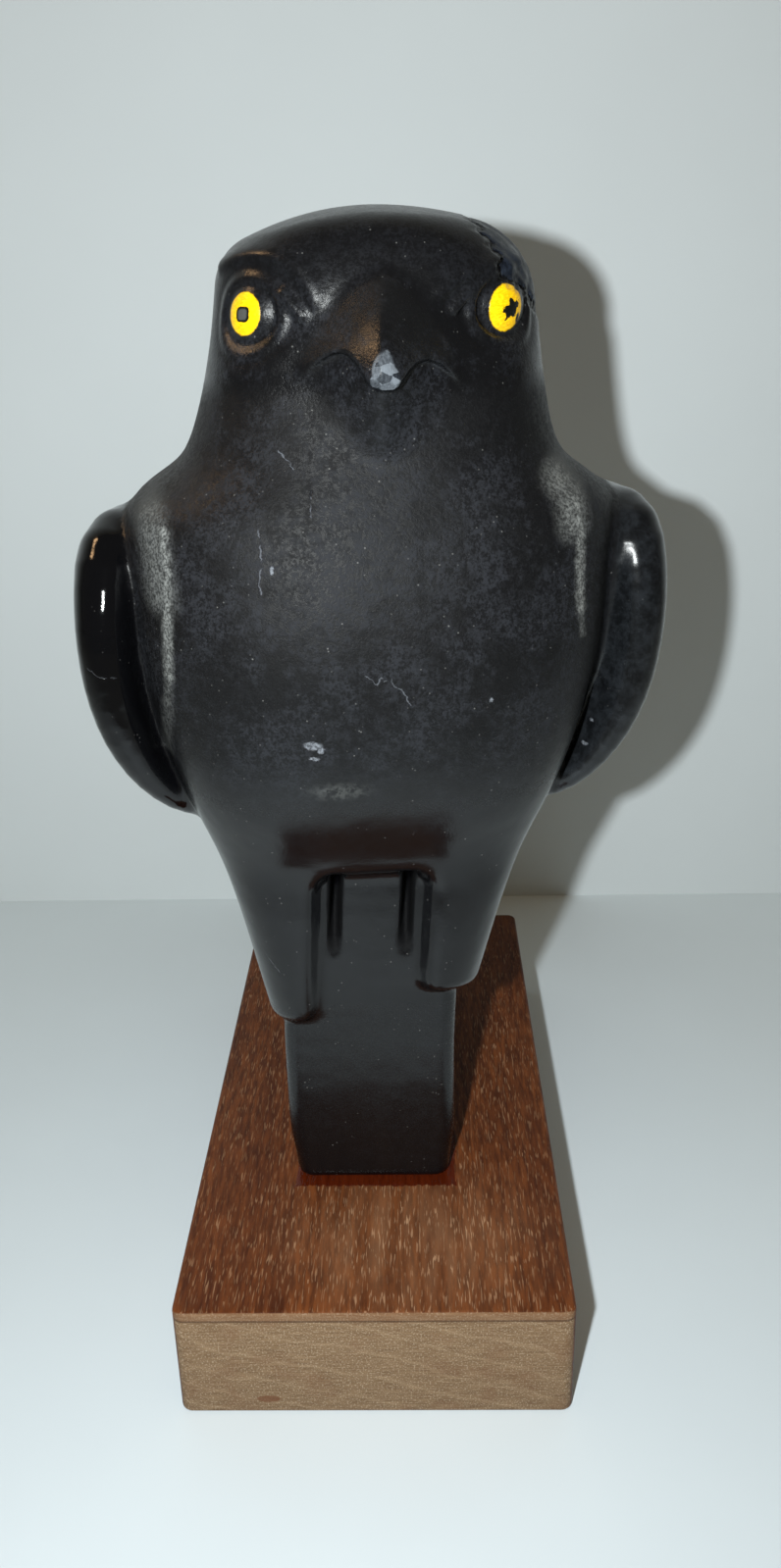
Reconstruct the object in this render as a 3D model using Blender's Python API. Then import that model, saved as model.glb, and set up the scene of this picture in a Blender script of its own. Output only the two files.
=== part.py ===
"""Falcon statue: a black stone falcon carved as one piece, standing on a wooden plinth.

Metres, +Z up. The falcon looks along -Y. The origin is the centre of the plinth's underside.
"""

import math

import bmesh
import bpy
import numpy as np

# Driving dimensions, in metres.
PLINTH_LENGTH = 0.228
PLINTH_WIDTH = 0.114
PLINTH_THICKNESS = 0.038
PLINTH_CORNER_RADIUS = 0.0035
PLINTH_ARRIS_RADIUS = 0.0015
FALCON_HEIGHT = 0.2834
SEAT_GAP = 0.0003

# The carving is laid out in parts of the falcon's own height. At the carved size a part is 1 mm.
# In that layout x runs across the bird, y runs from beak to tail and z runs up from the foot.
HEIGHT_IN_PARTS = 283.4
PART = FALCON_HEIGHT / HEIGHT_IN_PARTS

# How finely the carving is followed, in parts, the room left around it, and how many triangles are
# left in the solid.
CARVING_STEP = 2.0
BOX_MARGIN = 10.0
BOX_DEPTH_BELOW = 3.0
FALCON_TRIANGLES = 7800

# Stance: the bird leans a little to its left, turns a little above the foot and tilts its head:
# height and shift across, height and degrees.
LEAN_STATIONS = ((0.0, -1.3), (60.0, -1.4), (120.0, 0.3), (180.0, 2.2), (230.0, 3.6), (262.0, 5.0),
                 (285.0, 5.3))
TURN_AXIS_Y = -37.0
TURN_STATIONS = ((50.0, 0.0), (125.0, 6.0), (205.0, 6.0), (240.0, 3.0))
HEAD_TILT = 0.018
HEAD_TILT_HEIGHTS = (215.0, 250.0)

# Sections of the body from the thighs up to the eyes:
# height, half width, front, back, squareness of the front.
BODY_STATIONS = (
    (40.0, 27.5, -64.5, 44.0, 3.6),
    (60.0, 32.3, -65.5, 45.5, 3.6),
    (80.0, 37.2, -66.0, 46.5, 3.5),
    (100.0, 42.6, -66.0, 46.5, 3.4),
    (112.0, 46.6, -66.3, 46.2, 3.4),
    (122.0, 50.6, -70.0, 45.6, 3.25),
    (132.0, 54.6, -75.2, 44.8, 3.0),
    (145.0, 59.0, -79.8, 43.3, 2.8),
    (160.0, 62.8, -82.2, 41.0, 2.6),
    (180.0, 65.2, -82.4, 37.0, 2.6),
    (196.0, 65.8, -79.8, 33.0, 2.6),
    (206.0, 66.3, -77.2, 29.6, 2.6),
    (211.0, 65.2, -75.7, 27.4, 2.6),
    (215.5, 60.8, -74.2, 25.0, 2.6),
    (220.5, 53.8, -72.5, 22.4, 2.6),
    (226.0, 49.6, -70.7, 20.0, 2.6),
    (232.0, 47.3, -69.0, 17.6, 2.65),
    (240.0, 45.2, -66.8, 15.0, 2.75),
    (256.0, 42.2, -64.8, 13.0, 2.9),
    (264.0, 41.2, -64.2, 12.7, 2.9),
    (272.0, 40.3, -61.4, 12.5, 2.9),
    (290.0, 38.8, -53.0, 12.0, 2.9),
)
BODY_AXIS_Y = -24.0
BODY_BACK_SQUARENESS = 2.15

# Crown: a low dome whose edge is rounded over.
CROWN_PEAK_Y = -25.0
CROWN_RIGHT_RADIUS = 72.0
CROWN_LEFT_RADIUS = 100.0
CROWN_RADIUS_ALONG = 140.0
CROWN_EDGE = 7.0
CROWN_LEFT_EDGE = 14.0
CROWN_LEFT_EDGE_SPAN = (8.0, 34.0)
CROWN_TILT = 0.03
NAPE_START_Y = -12.0
NAPE_FALL = 0.014

# Foot block, with the tail behind it.
BLOCK_HALF_WIDTH = 26.0
BLOCK_FRONT_Y = -59.0
BLOCK_BACK_Y = 51.0
BLOCK_TOP = 116.0
BLOCK_BACK_SLOPE = 0.085
BLOCK_BOTTOM_NARROWING = 1.8
BLOCK_NARROWING_HEIGHT = 22.0
BLOCK_CORNER = 5.0
BLOCK_BOTTOM_ROUND = 3.0
BLOCK_FRONT_JOIN = 1.5
BLOCK_BACK_JOIN = 7.5
BLOCK_JOIN_SPAN = (-35.0, 10.0)
TAIL_START_Y = 5.0
TAIL_NARROWING = 5.0

# Thighs: they are cut off level, the left one higher, and stand proud of the block.
RIGHT_THIGH_BOTTOM = 60.0
LEFT_THIGH_BOTTOM = 70.0
THIGH_CUT_SLOPE = -0.30
THIGH_CUT_EDGE = 3.0

# Leg recess between the thighs, with the column and the two slots beside it.
RECESS_CENTRE_X = -0.8
RECESS_HALF_WIDTH = 16.4
RECESS_TOP = 111.0
RECESS_BOTTOM = 30.0
RECESS_FLOOR_Y = -58.5
RECESS_EDGE = 5.5
RECESS_CORNER = 6.0
BAY_HALF_REACH = 30.0
SLOT_CENTRE_X = 10.4
SLOT_HALF_WIDTH = 1.5
SLOT_BOTTOM = 85.0
SLOT_DEPTH = 14.0
SLOT_EDGE = 3.0
SLOT_MOUTH_EDGE = 1.8

# Wings: a shell on the flanks, thinner towards the tip. Its outline is laid out along the flank
# and up it, and its front edge is a thick roll: side, y, height and radius along it.
WING_GIRTH_RADIUS = 58.0
WING_STAND_OUT = 15.5
WING_TIP_STAND_OUT = 4.5
WING_EDGE = 0.75
WING_LOWER_SLOPE = 0.64
WING_LOWER_TAPER = 24.0
WING_OUTLINE = ((94.0, 201.5), (84.0, 199.5), (78.0, 188.0), (76.0, 172.0), (75.0, 152.0), (75.5, 134.0),
                (81.0, 121.0), (100.0, 111.0), (126.0, 94.0), (150.0, 76.0), (174.0, 58.0), (175.0, 84.0),
                (166.0, 118.0), (153.0, 152.0), (136.0, 181.0), (115.0, 197.0))
ROLL_STATIONS = (
    (60.0, -6.0, 195.5, 6.8),
    (66.0, -21.0, 200.8, 8.2),
    (69.9, -31.8, 199.0, 9.2),
    (71.9, -38.5, 190.0, 8.8),
    (72.6, -41.5, 175.0, 8.3),
    (71.3, -42.5, 160.0, 7.6),
    (67.6, -42.5, 146.5, 6.6),
    (61.4, -41.0, 135.0, 5.4),
    (53.8, -38.0, 127.0, 4.4),
    (46.0, -32.0, 122.0, 3.2),
)
ROLL_STRETCH = 1.3
ROLL_JOIN = 4.0
WING_JOIN = 3.5
LEFT_WING_JOIN = 7.0
LEFT_WING_JOIN_SPAN = (152.0, 168.0)
WING_TAPER_GIRTHS = (75.0, 165.0)
WING_LOWER_SHARE = 0.35
LEFT_WING_SHIFT = 1.3
LEFT_WING_RAISE = 1.2
LEFT_WING_RAISE_SPAN = (150.0, 195.0)

# Eyes: the balls, their sockets and lids lie on the head's front corners. Places on the face are laid
# out along it towards the beak, up, and out from its skin.
EYE_CENTRE = (31.8, -55.6, 258.8)
EYE_TURN_DEGREES = 42.0
EYEBALL_RADIUS = 11.0
EYEBALL_SINK = 9.9
EYEBALL_JOIN = 0.6
RIGHT_SOCKET_CENTRE = (1.0, 1.3, 2.4)
RIGHT_SOCKET_RADII = (18.0, 13.2, 5.0)
LEFT_SOCKET_CENTRE = (1.5, -0.9, 2.2)
LEFT_SOCKET_RADII = (18.5, 10.8, 5.2)
SOCKET_EDGE = 1.2
LID_RADII = (10.6, 8.8)
LID_THICKNESS = 1.1
LID_SINK = 2.2
LID_JOIN = 1.8

# Brows: each is a soft ridge that arches over the socket down to the root of the beak. The left one
# lies lower.
RIGHT_BROW_POINTS = ((-13.0, 12.0, -0.8), (-7.0, 13.3, -0.9), (-1.4, 13.7, -1.0), (5.7, 13.1, -1.0),
                     (10.8, 11.5, -1.0), (13.9, 9.5, -1.0), (16.0, 6.7, -1.1), (17.4, 3.6, -1.4))
LEFT_BROW_POINTS = ((-8.0, 10.4, -1.2), (-2.0, 10.0, -1.1), (5.5, 8.4, -1.0), (9.6, 7.2, -1.0),
                    (13.6, 5.8, -1.0), (17.2, 4.4, -1.1), (20.6, 2.4, -1.4))
BROW_RADIUS = 1.5
BROW_JOIN = 2.6

# Folds: a short ridge runs from the inner corner of each eye towards the beak.
FOLD_POINTS = ((10.6, 5.2, -1.5), (12.8, 2.8, -1.2), (15.2, 0.2, -1.1))
FOLD_RADIUS = 1.1
FOLD_JOIN = 1.4

# Beak: a wedge with a sharp ridge, a little left of the middle, hooked down to a broken tip and cut
# below by the mouth line. A mouth station is a place across and its height.
RIDGE_STATIONS = ((238.0, -83.6), (244.0, -84.0), (250.0, -81.6), (256.0, -76.6), (262.0, -70.6),
                  (267.0, -64.8), (271.0, -58.8), (275.0, -51.5))
RIDGE_CENTRE_X = 0.9
CHIN_STATIONS = ((222.0, -64.0), (228.0, -69.8), (234.0, -73.6), (240.0, -76.0), (245.0, -77.0),
                 (251.0, -75.0), (257.0, -69.0), (264.0, -58.0), (270.0, -46.0))
CHEEK_ROOT_Y = -50.0
BEAK_REACH = 30.0
RIDGE_RADIUS = 1.0
TIP_RIDGE_RADIUS = 1.9
TIP_RIDGE_SPAN = (255.0, 247.0)
BEAK_HALF_WIDTH = 29.0
BEAK_TOP = 273.0
BEAK_TOP_SLOPE = 0.25
MOUTH_STATIONS = ((-32.0, 233.0), (-24.0, 241.0), (-18.0, 246.0), (-13.0, 249.4), (-9.0, 250.8),
                  (-5.8, 249.2), (-3.4, 246.0), (-1.6, 243.8), (1.4, 243.0), (4.4, 243.6), (6.4, 246.0),
                  (8.8, 248.0), (11.8, 248.4), (15.8, 246.4), (20.0, 243.0), (26.0, 238.0), (32.0, 231.0))
BEAK_EDGE = 1.4
BEAK_JOIN = 1.8
CHIN_JOIN = 5.0
BILL_BACK_Y = -45.0

# Facets of the beak's broken tip, each a place on it, from the ridge's middle, and its direction.
TIP_FACETS = (
    ((-0.9, -82.5, 245.0), (-0.22, -0.97, -0.12)),
    ((1.2, -82.1, 246.0), (0.33, -0.94, 0.02)),
    ((-1.0, -82.0, 248.6), (-0.34, -0.86, 0.38)),
    ((1.2, -81.5, 249.4), (0.28, -0.86, 0.42)),
    ((0.0, -80.6, 243.3), (0.05, -0.75, -0.66)),
)
TIP_HALF_WIDTH = 5.0
TIP_BACK_Y = -78.0
TIP_SPAN = (240.0, 254.0)


def spline_slopes(places, values):
    """Slopes of the natural cubic curve through the stations."""
    count = len(places)
    gaps = np.diff(places)
    rises = np.diff(values) / gaps
    matrix = np.zeros((count, count))
    sides = np.zeros(count)
    matrix[0, :2] = 2.0, 1.0
    matrix[-1, -2:] = 1.0, 2.0
    sides[0] = 3.0 * rises[0]
    sides[-1] = 3.0 * rises[-1]
    for row in range(1, count - 1):
        matrix[row, row - 1:row + 2] = gaps[row], 2.0 * (gaps[row - 1] + gaps[row]), gaps[row - 1]
        sides[row] = 3.0 * (gaps[row] * rises[row - 1] + gaps[row - 1] * rises[row])
    return np.linalg.solve(matrix, sides)


def curve_value(stations, column, place):
    """Value of one column at a place, on a smooth curve through the stations, level past its ends."""
    table = np.array(stations)
    places, values = table[:, 0], table[:, column]
    slopes = spline_slopes(places, values)
    place = np.clip(place, places[0], places[-1])
    left = np.clip(np.searchsorted(places, place, side="right") - 1, 0, len(places) - 2)
    gap = places[left + 1] - places[left]
    share = (place - places[left]) / gap
    rise = values[left + 1] - values[left]
    near = slopes[left] * gap - rise
    far = rise - slopes[left + 1] * gap
    return values[left] + share * rise + share * (1.0 - share) * ((1.0 - share) * near + share * far)


def join(first, second, width):
    """Union of two solids, blended over a width."""
    share = np.clip(0.5 + 0.5 * (second - first) / width, 0.0, 1.0)
    return second + (first - second) * share - width * share * (1.0 - share)


def meet(first, second, width):
    """Common part of two solids, with its edge rounded over a width."""
    return -join(-first, -second, width)


def carve(solid, cutter, width):
    """A solid with a cutter taken away, its edge rounded over a width."""
    return meet(solid, -cutter, width)


def smooth_step(value, start, end):
    """0 before start, 1 after end, with an even slope between."""
    share = np.clip((value - start) / (end - start), 0.0, 1.0)
    return share * share * (3.0 - 2.0 * share)


def ellipsoid(along, up, out, radii):
    scaled = np.sqrt((along / radii[0]) ** 2 + (up / radii[1]) ** 2 + (out / radii[2]) ** 2)
    return (scaled - 1.0) * min(radii)


def rounded_box(offsets, halves, radius):
    """Distance to a box with rounded edges, from offsets to its centre."""
    outside = [np.abs(offset) - half + radius for offset, half in zip(offsets, halves)]
    beyond = np.sqrt(sum(np.maximum(side, 0.0) ** 2 for side in outside))
    return beyond + np.minimum(np.maximum.reduce(outside), 0.0) - radius


def tube(along, up, out, points, radius):
    """Distance to a rounded tube along a run of points."""
    nearest = np.full_like(along, np.inf)
    for start, end in zip(points, points[1:]):
        start, end = np.array(start), np.array(end)
        run = end - start
        share = (along - start[0]) * run[0] + (up - start[1]) * run[1] + (out - start[2]) * run[2]
        share = np.clip(share / (run @ run), 0.0, 1.0)
        gap = np.sqrt((along - start[0] - share * run[0]) ** 2 + (up - start[1] - share * run[1]) ** 2
                      + (out - start[2] - share * run[2]) ** 2)
        nearest = np.minimum(nearest, gap)
    return nearest - radius


def inside_loop(across, up, points, count=4):
    """Distance to a smooth closed outline through the points: negative inside."""
    ring = np.array(points)
    run = []
    for index in range(len(ring)):
        before, start, end, after = (ring[(index + shift) % len(ring)] for shift in (-1, 0, 1, 2))
        for share in np.arange(count) / count:
            run.append(0.5 * (2.0 * start + (end - before) * share
                              + (2.0 * before - 5.0 * start + 4.0 * end - after) * share ** 2
                              + (3.0 * start - before - 3.0 * end + after) * share ** 3))
    nearest = np.full_like(across, np.inf)
    crossings = np.zeros(across.shape, bool)
    for start, end in zip(run, run[1:] + run[:1]):
        step = end - start
        share = ((across - start[0]) * step[0] + (up - start[1]) * step[1]) / (step @ step)
        share = np.clip(share, 0.0, 1.0)
        gap = np.hypot(across - start[0] - share * step[0], up - start[1] - share * step[1])
        nearest = np.minimum(nearest, gap)
        if start[1] != end[1]:
            spans = (up >= start[1]) != (up >= end[1])
            crossings ^= spans & (across < start[0] + (up - start[1]) / step[1] * step[0])
    return np.where(crossings, -nearest, nearest)


def unbend(points):
    """Places in the upright bird's own layout, from places in the leaning, turned one."""
    height = points[:, 2]
    turn = np.radians(curve_value(TURN_STATIONS, 1, height))
    across = points[:, 0] - curve_value(LEAN_STATIONS, 1, height)
    along = points[:, 1] - TURN_AXIS_Y
    x = np.cos(turn) * across + np.sin(turn) * along
    y = np.cos(turn) * along - np.sin(turn) * across + TURN_AXIS_Y
    return x, y, height - HEAD_TILT * x * smooth_step(height, *HEAD_TILT_HEIGHTS)


def body(x, y, z):
    """Trunk, neck and head as one run of sections, closed above by the crown."""
    side = np.abs(x)
    width = curve_value(BODY_STATIONS, 1, z)
    front = BODY_AXIS_Y - curve_value(BODY_STATIONS, 2, z)
    back = curve_value(BODY_STATIONS, 3, z) - BODY_AXIS_Y
    along = y - BODY_AXIS_Y
    power = np.where(along < 0.0, curve_value(BODY_STATIONS, 4, z), BODY_BACK_SQUARENESS)
    depth = np.where(along < 0.0, front, back)
    scaled = ((side / width) ** power + (np.abs(along) / depth) ** power + 1e-9) ** (1.0 / power)
    flank = (1.0 - 1.0 / scaled) * np.hypot(side, along)
    nape = np.maximum(y - NAPE_START_Y, 0.0)
    radius = np.where(x < 0.0, CROWN_RIGHT_RADIUS, CROWN_LEFT_RADIUS)
    crown = (HEIGHT_IN_PARTS - CROWN_TILT * x - side ** 2 / (2.0 * radius)
             - (y - CROWN_PEAK_Y) ** 2 / (2.0 * CROWN_RADIUS_ALONG) - NAPE_FALL * nape ** 2)
    edge = CROWN_EDGE + (CROWN_LEFT_EDGE - CROWN_EDGE) * smooth_step(x, *CROWN_LEFT_EDGE_SPAN)
    return meet(flank, z - crown, edge)


def thigh_cut(x, y, z):
    """The space below the level ends of the thighs."""
    bottom = np.where(x < 0.0, RIGHT_THIGH_BOTTOM, LEFT_THIGH_BOTTOM)
    return z - bottom - THIGH_CUT_SLOPE * (y - BLOCK_FRONT_Y)


def foot_block(x, y, z):
    """The block that the bird stands on, narrowing behind into the tail."""
    narrowing = BLOCK_BOTTOM_NARROWING * (1.0 - smooth_step(z, 0.0, BLOCK_NARROWING_HEIGHT))
    narrowing = narrowing + TAIL_NARROWING * smooth_step(y, TAIL_START_Y, BLOCK_BACK_Y)
    middle_y = 0.5 * (BLOCK_FRONT_Y + BLOCK_BACK_Y)
    half_depth = 0.5 * (BLOCK_BACK_Y - BLOCK_FRONT_Y)
    wall = rounded_box((x, y - middle_y), (BLOCK_HALF_WIDTH - narrowing, half_depth), BLOCK_CORNER)
    wall = meet(wall, y - BLOCK_BACK_Y + BLOCK_BACK_SLOPE * z, BLOCK_CORNER)
    wall = meet(wall, -z, BLOCK_BOTTOM_ROUND)
    return np.maximum(wall, z - BLOCK_TOP)


def recess(side, y, z):
    """The space between the thighs: a shallow bay with a tapering slot at each side of the column."""
    offsets = (side, y - RECESS_FLOOR_Y + BAY_HALF_REACH, z - 0.5 * (RECESS_TOP + RECESS_BOTTOM))
    halves = (RECESS_HALF_WIDTH, BAY_HALF_REACH, 0.5 * (RECESS_TOP - RECESS_BOTTOM))
    bay = rounded_box(offsets, halves, RECESS_CORNER)
    reach = SLOT_DEPTH * np.clip((z - SLOT_BOTTOM) / (RECESS_TOP - SLOT_BOTTOM), -1.0, 1.0)
    slot = meet(np.abs(side - SLOT_CENTRE_X) - SLOT_HALF_WIDTH, y - RECESS_FLOOR_Y - reach, SLOT_EDGE)
    slot = np.maximum(slot, z - RECESS_TOP)
    return bay, slot


def roll(side, y, z):
    """The thick front edge of a wing: a rounded run that is deeper than it is wide."""
    table = np.array(ROLL_STATIONS)
    lengths = np.concatenate(([0.0], np.cumsum(np.linalg.norm(np.diff(table[:, :3], axis=0), axis=1))))
    stations = np.column_stack((lengths, table))
    places = np.linspace(0.0, lengths[-1], 25)
    run = [curve_value(stations, column, places) for column in (1, 2, 3, 4)]
    run = np.column_stack((run[0], run[1] / ROLL_STRETCH, run[2], run[3]))
    nearest = np.full_like(side, np.inf)
    near_y = y / ROLL_STRETCH
    for start, end in zip(run, run[1:]):
        step = end - start
        share = (side - start[0]) * step[0] + (near_y - start[1]) * step[1] + (z - start[2]) * step[2]
        share = np.clip(share / (step[:3] @ step[:3]), 0.0, 1.0)
        gap = np.sqrt((side - start[0] - share * step[0]) ** 2 + (near_y - start[1] - share * step[1]) ** 2
                      + (z - start[2] - share * step[2]) ** 2)
        nearest = np.minimum(nearest, gap - start[3] - share * step[3])
    return nearest


def wing(x, y, z, flank):
    """A folded wing: a shell over the flank, thick along its front edge and thin at the tip.
    The left wing stands out and up a little more than the right one."""
    shift = np.where(x > 0.0, LEFT_WING_SHIFT, 0.0)
    side = np.abs(x) - shift
    flank = flank - shift
    z = z - np.where(x > 0.0, LEFT_WING_RAISE, 0.0) * smooth_step(z, *LEFT_WING_RAISE_SPAN)
    girth = WING_GIRTH_RADIUS * np.arctan2(side, BODY_AXIS_Y - y)
    outline = inside_loop(girth, z, WING_OUTLINE)
    towards_tip = smooth_step(girth, *WING_TAPER_GIRTHS)
    above = z - WING_OUTLINE[6][1] + WING_LOWER_SLOPE * (girth - WING_OUTLINE[6][0])
    thickness = WING_STAND_OUT + (WING_TIP_STAND_OUT - WING_STAND_OUT) * towards_tip
    thickness *= WING_LOWER_SHARE + (1.0 - WING_LOWER_SHARE) * smooth_step(above, 0.0, WING_LOWER_TAPER)
    return join(meet(flank - thickness, outline, WING_EDGE * thickness), roll(side, y, z), ROLL_JOIN)


def eye_places(side, y, z):
    """Places along, up and out from the eye, with along running towards the beak."""
    turn = math.radians(EYE_TURN_DEGREES)
    across = side - EYE_CENTRE[0]
    ahead = EYE_CENTRE[1] - y
    along = -across * math.cos(turn) + ahead * math.sin(turn)
    out = across * math.sin(turn) + ahead * math.cos(turn)
    return along, z - EYE_CENTRE[2], out


def beak(x, y, z):
    """The upper bill, whose two cheeks meet in a ridge and end at the mouth line, and the chin below it."""
    side = np.abs(x - RIDGE_CENTRE_X)
    radius = RIDGE_RADIUS + (TIP_RIDGE_RADIUS - RIDGE_RADIUS) * smooth_step(z, *TIP_RIDGE_SPAN)
    spread = np.sqrt(side ** 2 + radius ** 2) - radius

    def cheeks(stations):
        ridge = curve_value(stations, 1, z)
        slope = (CHEEK_ROOT_Y - ridge) / BEAK_REACH
        return (ridge + slope * spread - y) / np.hypot(1.0, slope)

    mouth = curve_value(MOUTH_STATIONS, 1, x)
    inner = np.maximum(side - BEAK_HALF_WIDTH, z + BEAK_TOP_SLOPE * side - BEAK_TOP)
    inner = np.maximum(inner, y - BILL_BACK_Y)
    bill = np.maximum(meet(cheeks(RIDGE_STATIONS), mouth - z, BEAK_EDGE), inner)
    chin = np.maximum(cheeks(CHIN_STATIONS), np.maximum(inner, CHIN_STATIONS[0][0] - z))
    return bill, chin


def tip_facets(x, y, z):
    """Distance past the level breaks of the beak's tip, far inside away from it."""
    offset = x - RIDGE_CENTRE_X
    tip = np.column_stack((offset, y, z))
    cuts = [(tip - np.array(place)) @ (np.array(direction) / np.linalg.norm(direction))
            for place, direction in TIP_FACETS]
    near = (np.abs(offset) < TIP_HALF_WIDTH) & (y < TIP_BACK_Y) & (z > TIP_SPAN[0]) & (z < TIP_SPAN[1])
    return np.where(near, np.max(cuts, axis=0), -TIP_HALF_WIDTH)


def face(x, y, z, solid, skin):
    """The carving with its brows, eye sockets, folds, lids, eyeballs and beak."""
    along, up, out = eye_places(np.abs(x), y, z)
    right = x < 0.0
    brows = [tube(along, up, skin, points, BROW_RADIUS) for points in (RIGHT_BROW_POINTS, LEFT_BROW_POINTS)]
    solid = join(solid, np.where(right, *brows), BROW_JOIN)
    sockets = [(RIGHT_SOCKET_CENTRE, RIGHT_SOCKET_RADII), (LEFT_SOCKET_CENTRE, LEFT_SOCKET_RADII)]
    sockets = [ellipsoid(along - centre[0], up - centre[1], skin - centre[2], radii)
               for centre, radii in sockets]
    solid = carve(solid, np.where(right, *sockets), SOCKET_EDGE)
    solid = join(solid, tube(along, up, skin, FOLD_POINTS, FOLD_RADIUS), FOLD_JOIN)
    ring = np.hypot(along / LID_RADII[0], up / LID_RADII[1]) + 1e-6
    beyond = (1.0 - 1.0 / ring) * np.hypot(along, up)
    solid = join(solid, np.hypot(beyond, skin + LID_SINK) - LID_THICKNESS, LID_JOIN)
    eyeball = np.sqrt(along ** 2 + up ** 2 + (out + EYEBALL_SINK) ** 2) - EYEBALL_RADIUS
    solid = join(solid, eyeball, EYEBALL_JOIN)
    bill, chin = beak(x, y, z)
    solid = join(join(solid, chin, CHIN_JOIN), bill, BEAK_JOIN)
    return np.maximum(solid, tip_facets(x, y, z))


def falcon(points):
    """Signed distance, in parts, from places to the carving's surface: negative inside."""
    x, y, z = unbend(points)
    trunk = body(x, y, z)
    solid = meet(trunk, -thigh_cut(x, y, z), THIGH_CUT_EDGE)
    wing_join = WING_JOIN + np.where(x > 0.0, LEFT_WING_JOIN - WING_JOIN, 0.0) * smooth_step(
        z, *LEFT_WING_JOIN_SPAN)
    solid = join(solid, wing(x, y, z, trunk), wing_join)
    bay, slot = recess(np.abs(x - RECESS_CENTRE_X), y, z)
    solid = carve(solid, bay, RECESS_EDGE)
    block_join = BLOCK_FRONT_JOIN + (BLOCK_BACK_JOIN - BLOCK_FRONT_JOIN) * smooth_step(y, *BLOCK_JOIN_SPAN)
    solid = join(solid, foot_block(x, y, z), block_join)
    solid = carve(solid, slot, SLOT_MOUTH_EDGE)
    return face(x, y, z, solid, trunk)


def field_at(points, chunk=200000):
    """The carving's distance at many places, a chunk at a time."""
    return np.concatenate([falcon(points[start:start + chunk]) for start in range(0, len(points), chunk)])


def grid_field(low, counts, step):
    """The distance on a grid: worked out near the surface, and taken from a coarse grid away from it."""
    coarse = 4
    coarse_counts = [count // coarse + 2 for count in counts]
    axes = [low[axis] + step * coarse * np.arange(coarse_counts[axis]) for axis in range(3)]
    places = np.stack(np.meshgrid(*axes, indexing="ij"), axis=-1)
    rough = field_at(places.reshape(-1, 3)).reshape(coarse_counts)
    values = rough
    for axis in range(3):
        place = np.arange(counts[axis]) / coarse
        left = place.astype(int)
        share = (place - left).reshape([-1 if other == axis else 1 for other in range(3)])
        values = np.take(values, left, axis) * (1.0 - share) + np.take(values, left + 1, axis) * share
    near = np.argwhere(np.abs(values) < 1.6 * coarse * step)
    values[tuple(near.T)] = field_at(np.array(low) + step * near)
    return values


def close_corners(values):
    """Grid values with each place filled where solid corners touch only diagonally, so that the surface
    never meets itself."""
    fill = -1e-3
    whole, first, second = slice(None), slice(None, -1), slice(1, None)
    changed = True
    while changed:
        changed = False
        for axis in range(3):
            squares = [(first, first), (first, second), (second, first), (second, second)]
            views = [values[tuple(np.insert(np.array(square, object), axis, whole))] for square in squares]
            inside = [view < 0.0 for view in views]
            mixed = (inside[0] == inside[3]) & (inside[1] == inside[2]) & (inside[0] != inside[1])
            for view in views:
                view[mixed & (view >= 0.0)] = fill
            changed = changed or bool(mixed.any())
        corners = [(i, j, k) for i in (first, second) for j in (first, second) for k in (first, second)]
        views = [values[corner] for corner in corners]
        inside = [view < 0.0 for view in views]
        count = sum(part.astype(int) for part in inside)
        for corner in range(4):
            pair = inside[corner] & inside[7 - corner] & (count == 2)
            hole = ~inside[corner] & ~inside[7 - corner] & (count == 6)
            for view in views:
                view[(pair | hole) & (view >= 0.0)] = fill
            changed = changed or bool((pair | hole).any())
    return values


def net_surface(values, low, step):
    """A closed net through a grid's zero surface: a point in each cell and a face on each edge it cuts."""
    inside = values < 0.0
    corners = [(i, j, k) for i in (0, 1) for j in (0, 1) for k in (0, 1)]
    cells = np.array(values.shape) - 1

    def shifted(array, offset):
        return array[tuple(slice(start, start + count) for start, count in zip(offset, cells))]

    filled = sum(shifted(inside, corner).astype(int) for corner in corners)
    crossed = (filled > 0) & (filled < 8)
    cell_places = np.argwhere(crossed)
    total = np.zeros((len(cell_places), 3))
    hits = np.zeros(len(cell_places))
    for first in corners:
        for axis in range(3):
            if first[axis]:
                continue
            second = tuple(first[other] + (other == axis) for other in range(3))
            near = shifted(values, first)[crossed]
            far = shifted(values, second)[crossed]
            cut = (near < 0.0) != (far < 0.0)
            share = near[cut] / (near[cut] - far[cut])
            place = np.tile(np.array(first, float), (int(cut.sum()), 1))
            place[:, axis] = share
            total[cut] += place
            hits[cut] += 1.0
    points = np.array(low) + step * (cell_places + total / hits[:, None])
    numbers = -np.ones(values.shape, int)
    numbers[tuple(cell_places.T)] = np.arange(len(cell_places))
    faces = []
    for axis in range(3):
        one, two = (axis + 1) % 3, (axis + 2) % 3
        here = np.take(inside, range(inside.shape[axis] - 1), axis)
        there = np.take(inside, range(1, inside.shape[axis]), axis)
        edges = np.argwhere(here != there)
        quad = []
        for back_one, back_two in ((1, 1), (0, 1), (0, 0), (1, 0)):
            cell = edges.copy()
            cell[:, one] -= back_one
            cell[:, two] -= back_two
            quad.append(numbers[tuple(cell.T)])
        quad = np.stack(quad, axis=1)
        outward = here[tuple(edges.T)]
        faces.append(np.where(outward[:, None], quad, quad[:, ::-1]))
    return points, np.concatenate(faces)


def field_slope(points):
    """Gradient of the distance at places."""
    small = 0.02
    slopes = []
    for axis in range(3):
        shift = np.zeros(3)
        shift[axis] = small
        slopes.append((field_at(points + shift) - field_at(points - shift)) / (2.0 * small))
    return np.stack(slopes, axis=1)


def settle(points, rounds=4, reach=0.6):
    """Points moved onto the surface, at most a short way each time."""
    for _ in range(rounds):
        value = field_at(points)
        slope = field_slope(points)
        move = -value[:, None] * slope / np.maximum((slope ** 2).sum(axis=1), 0.2)[:, None]
        length = np.linalg.norm(move, axis=1)
        points = points + move * np.minimum(1.0, reach / np.maximum(length, 1e-9))[:, None]
    return points


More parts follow.
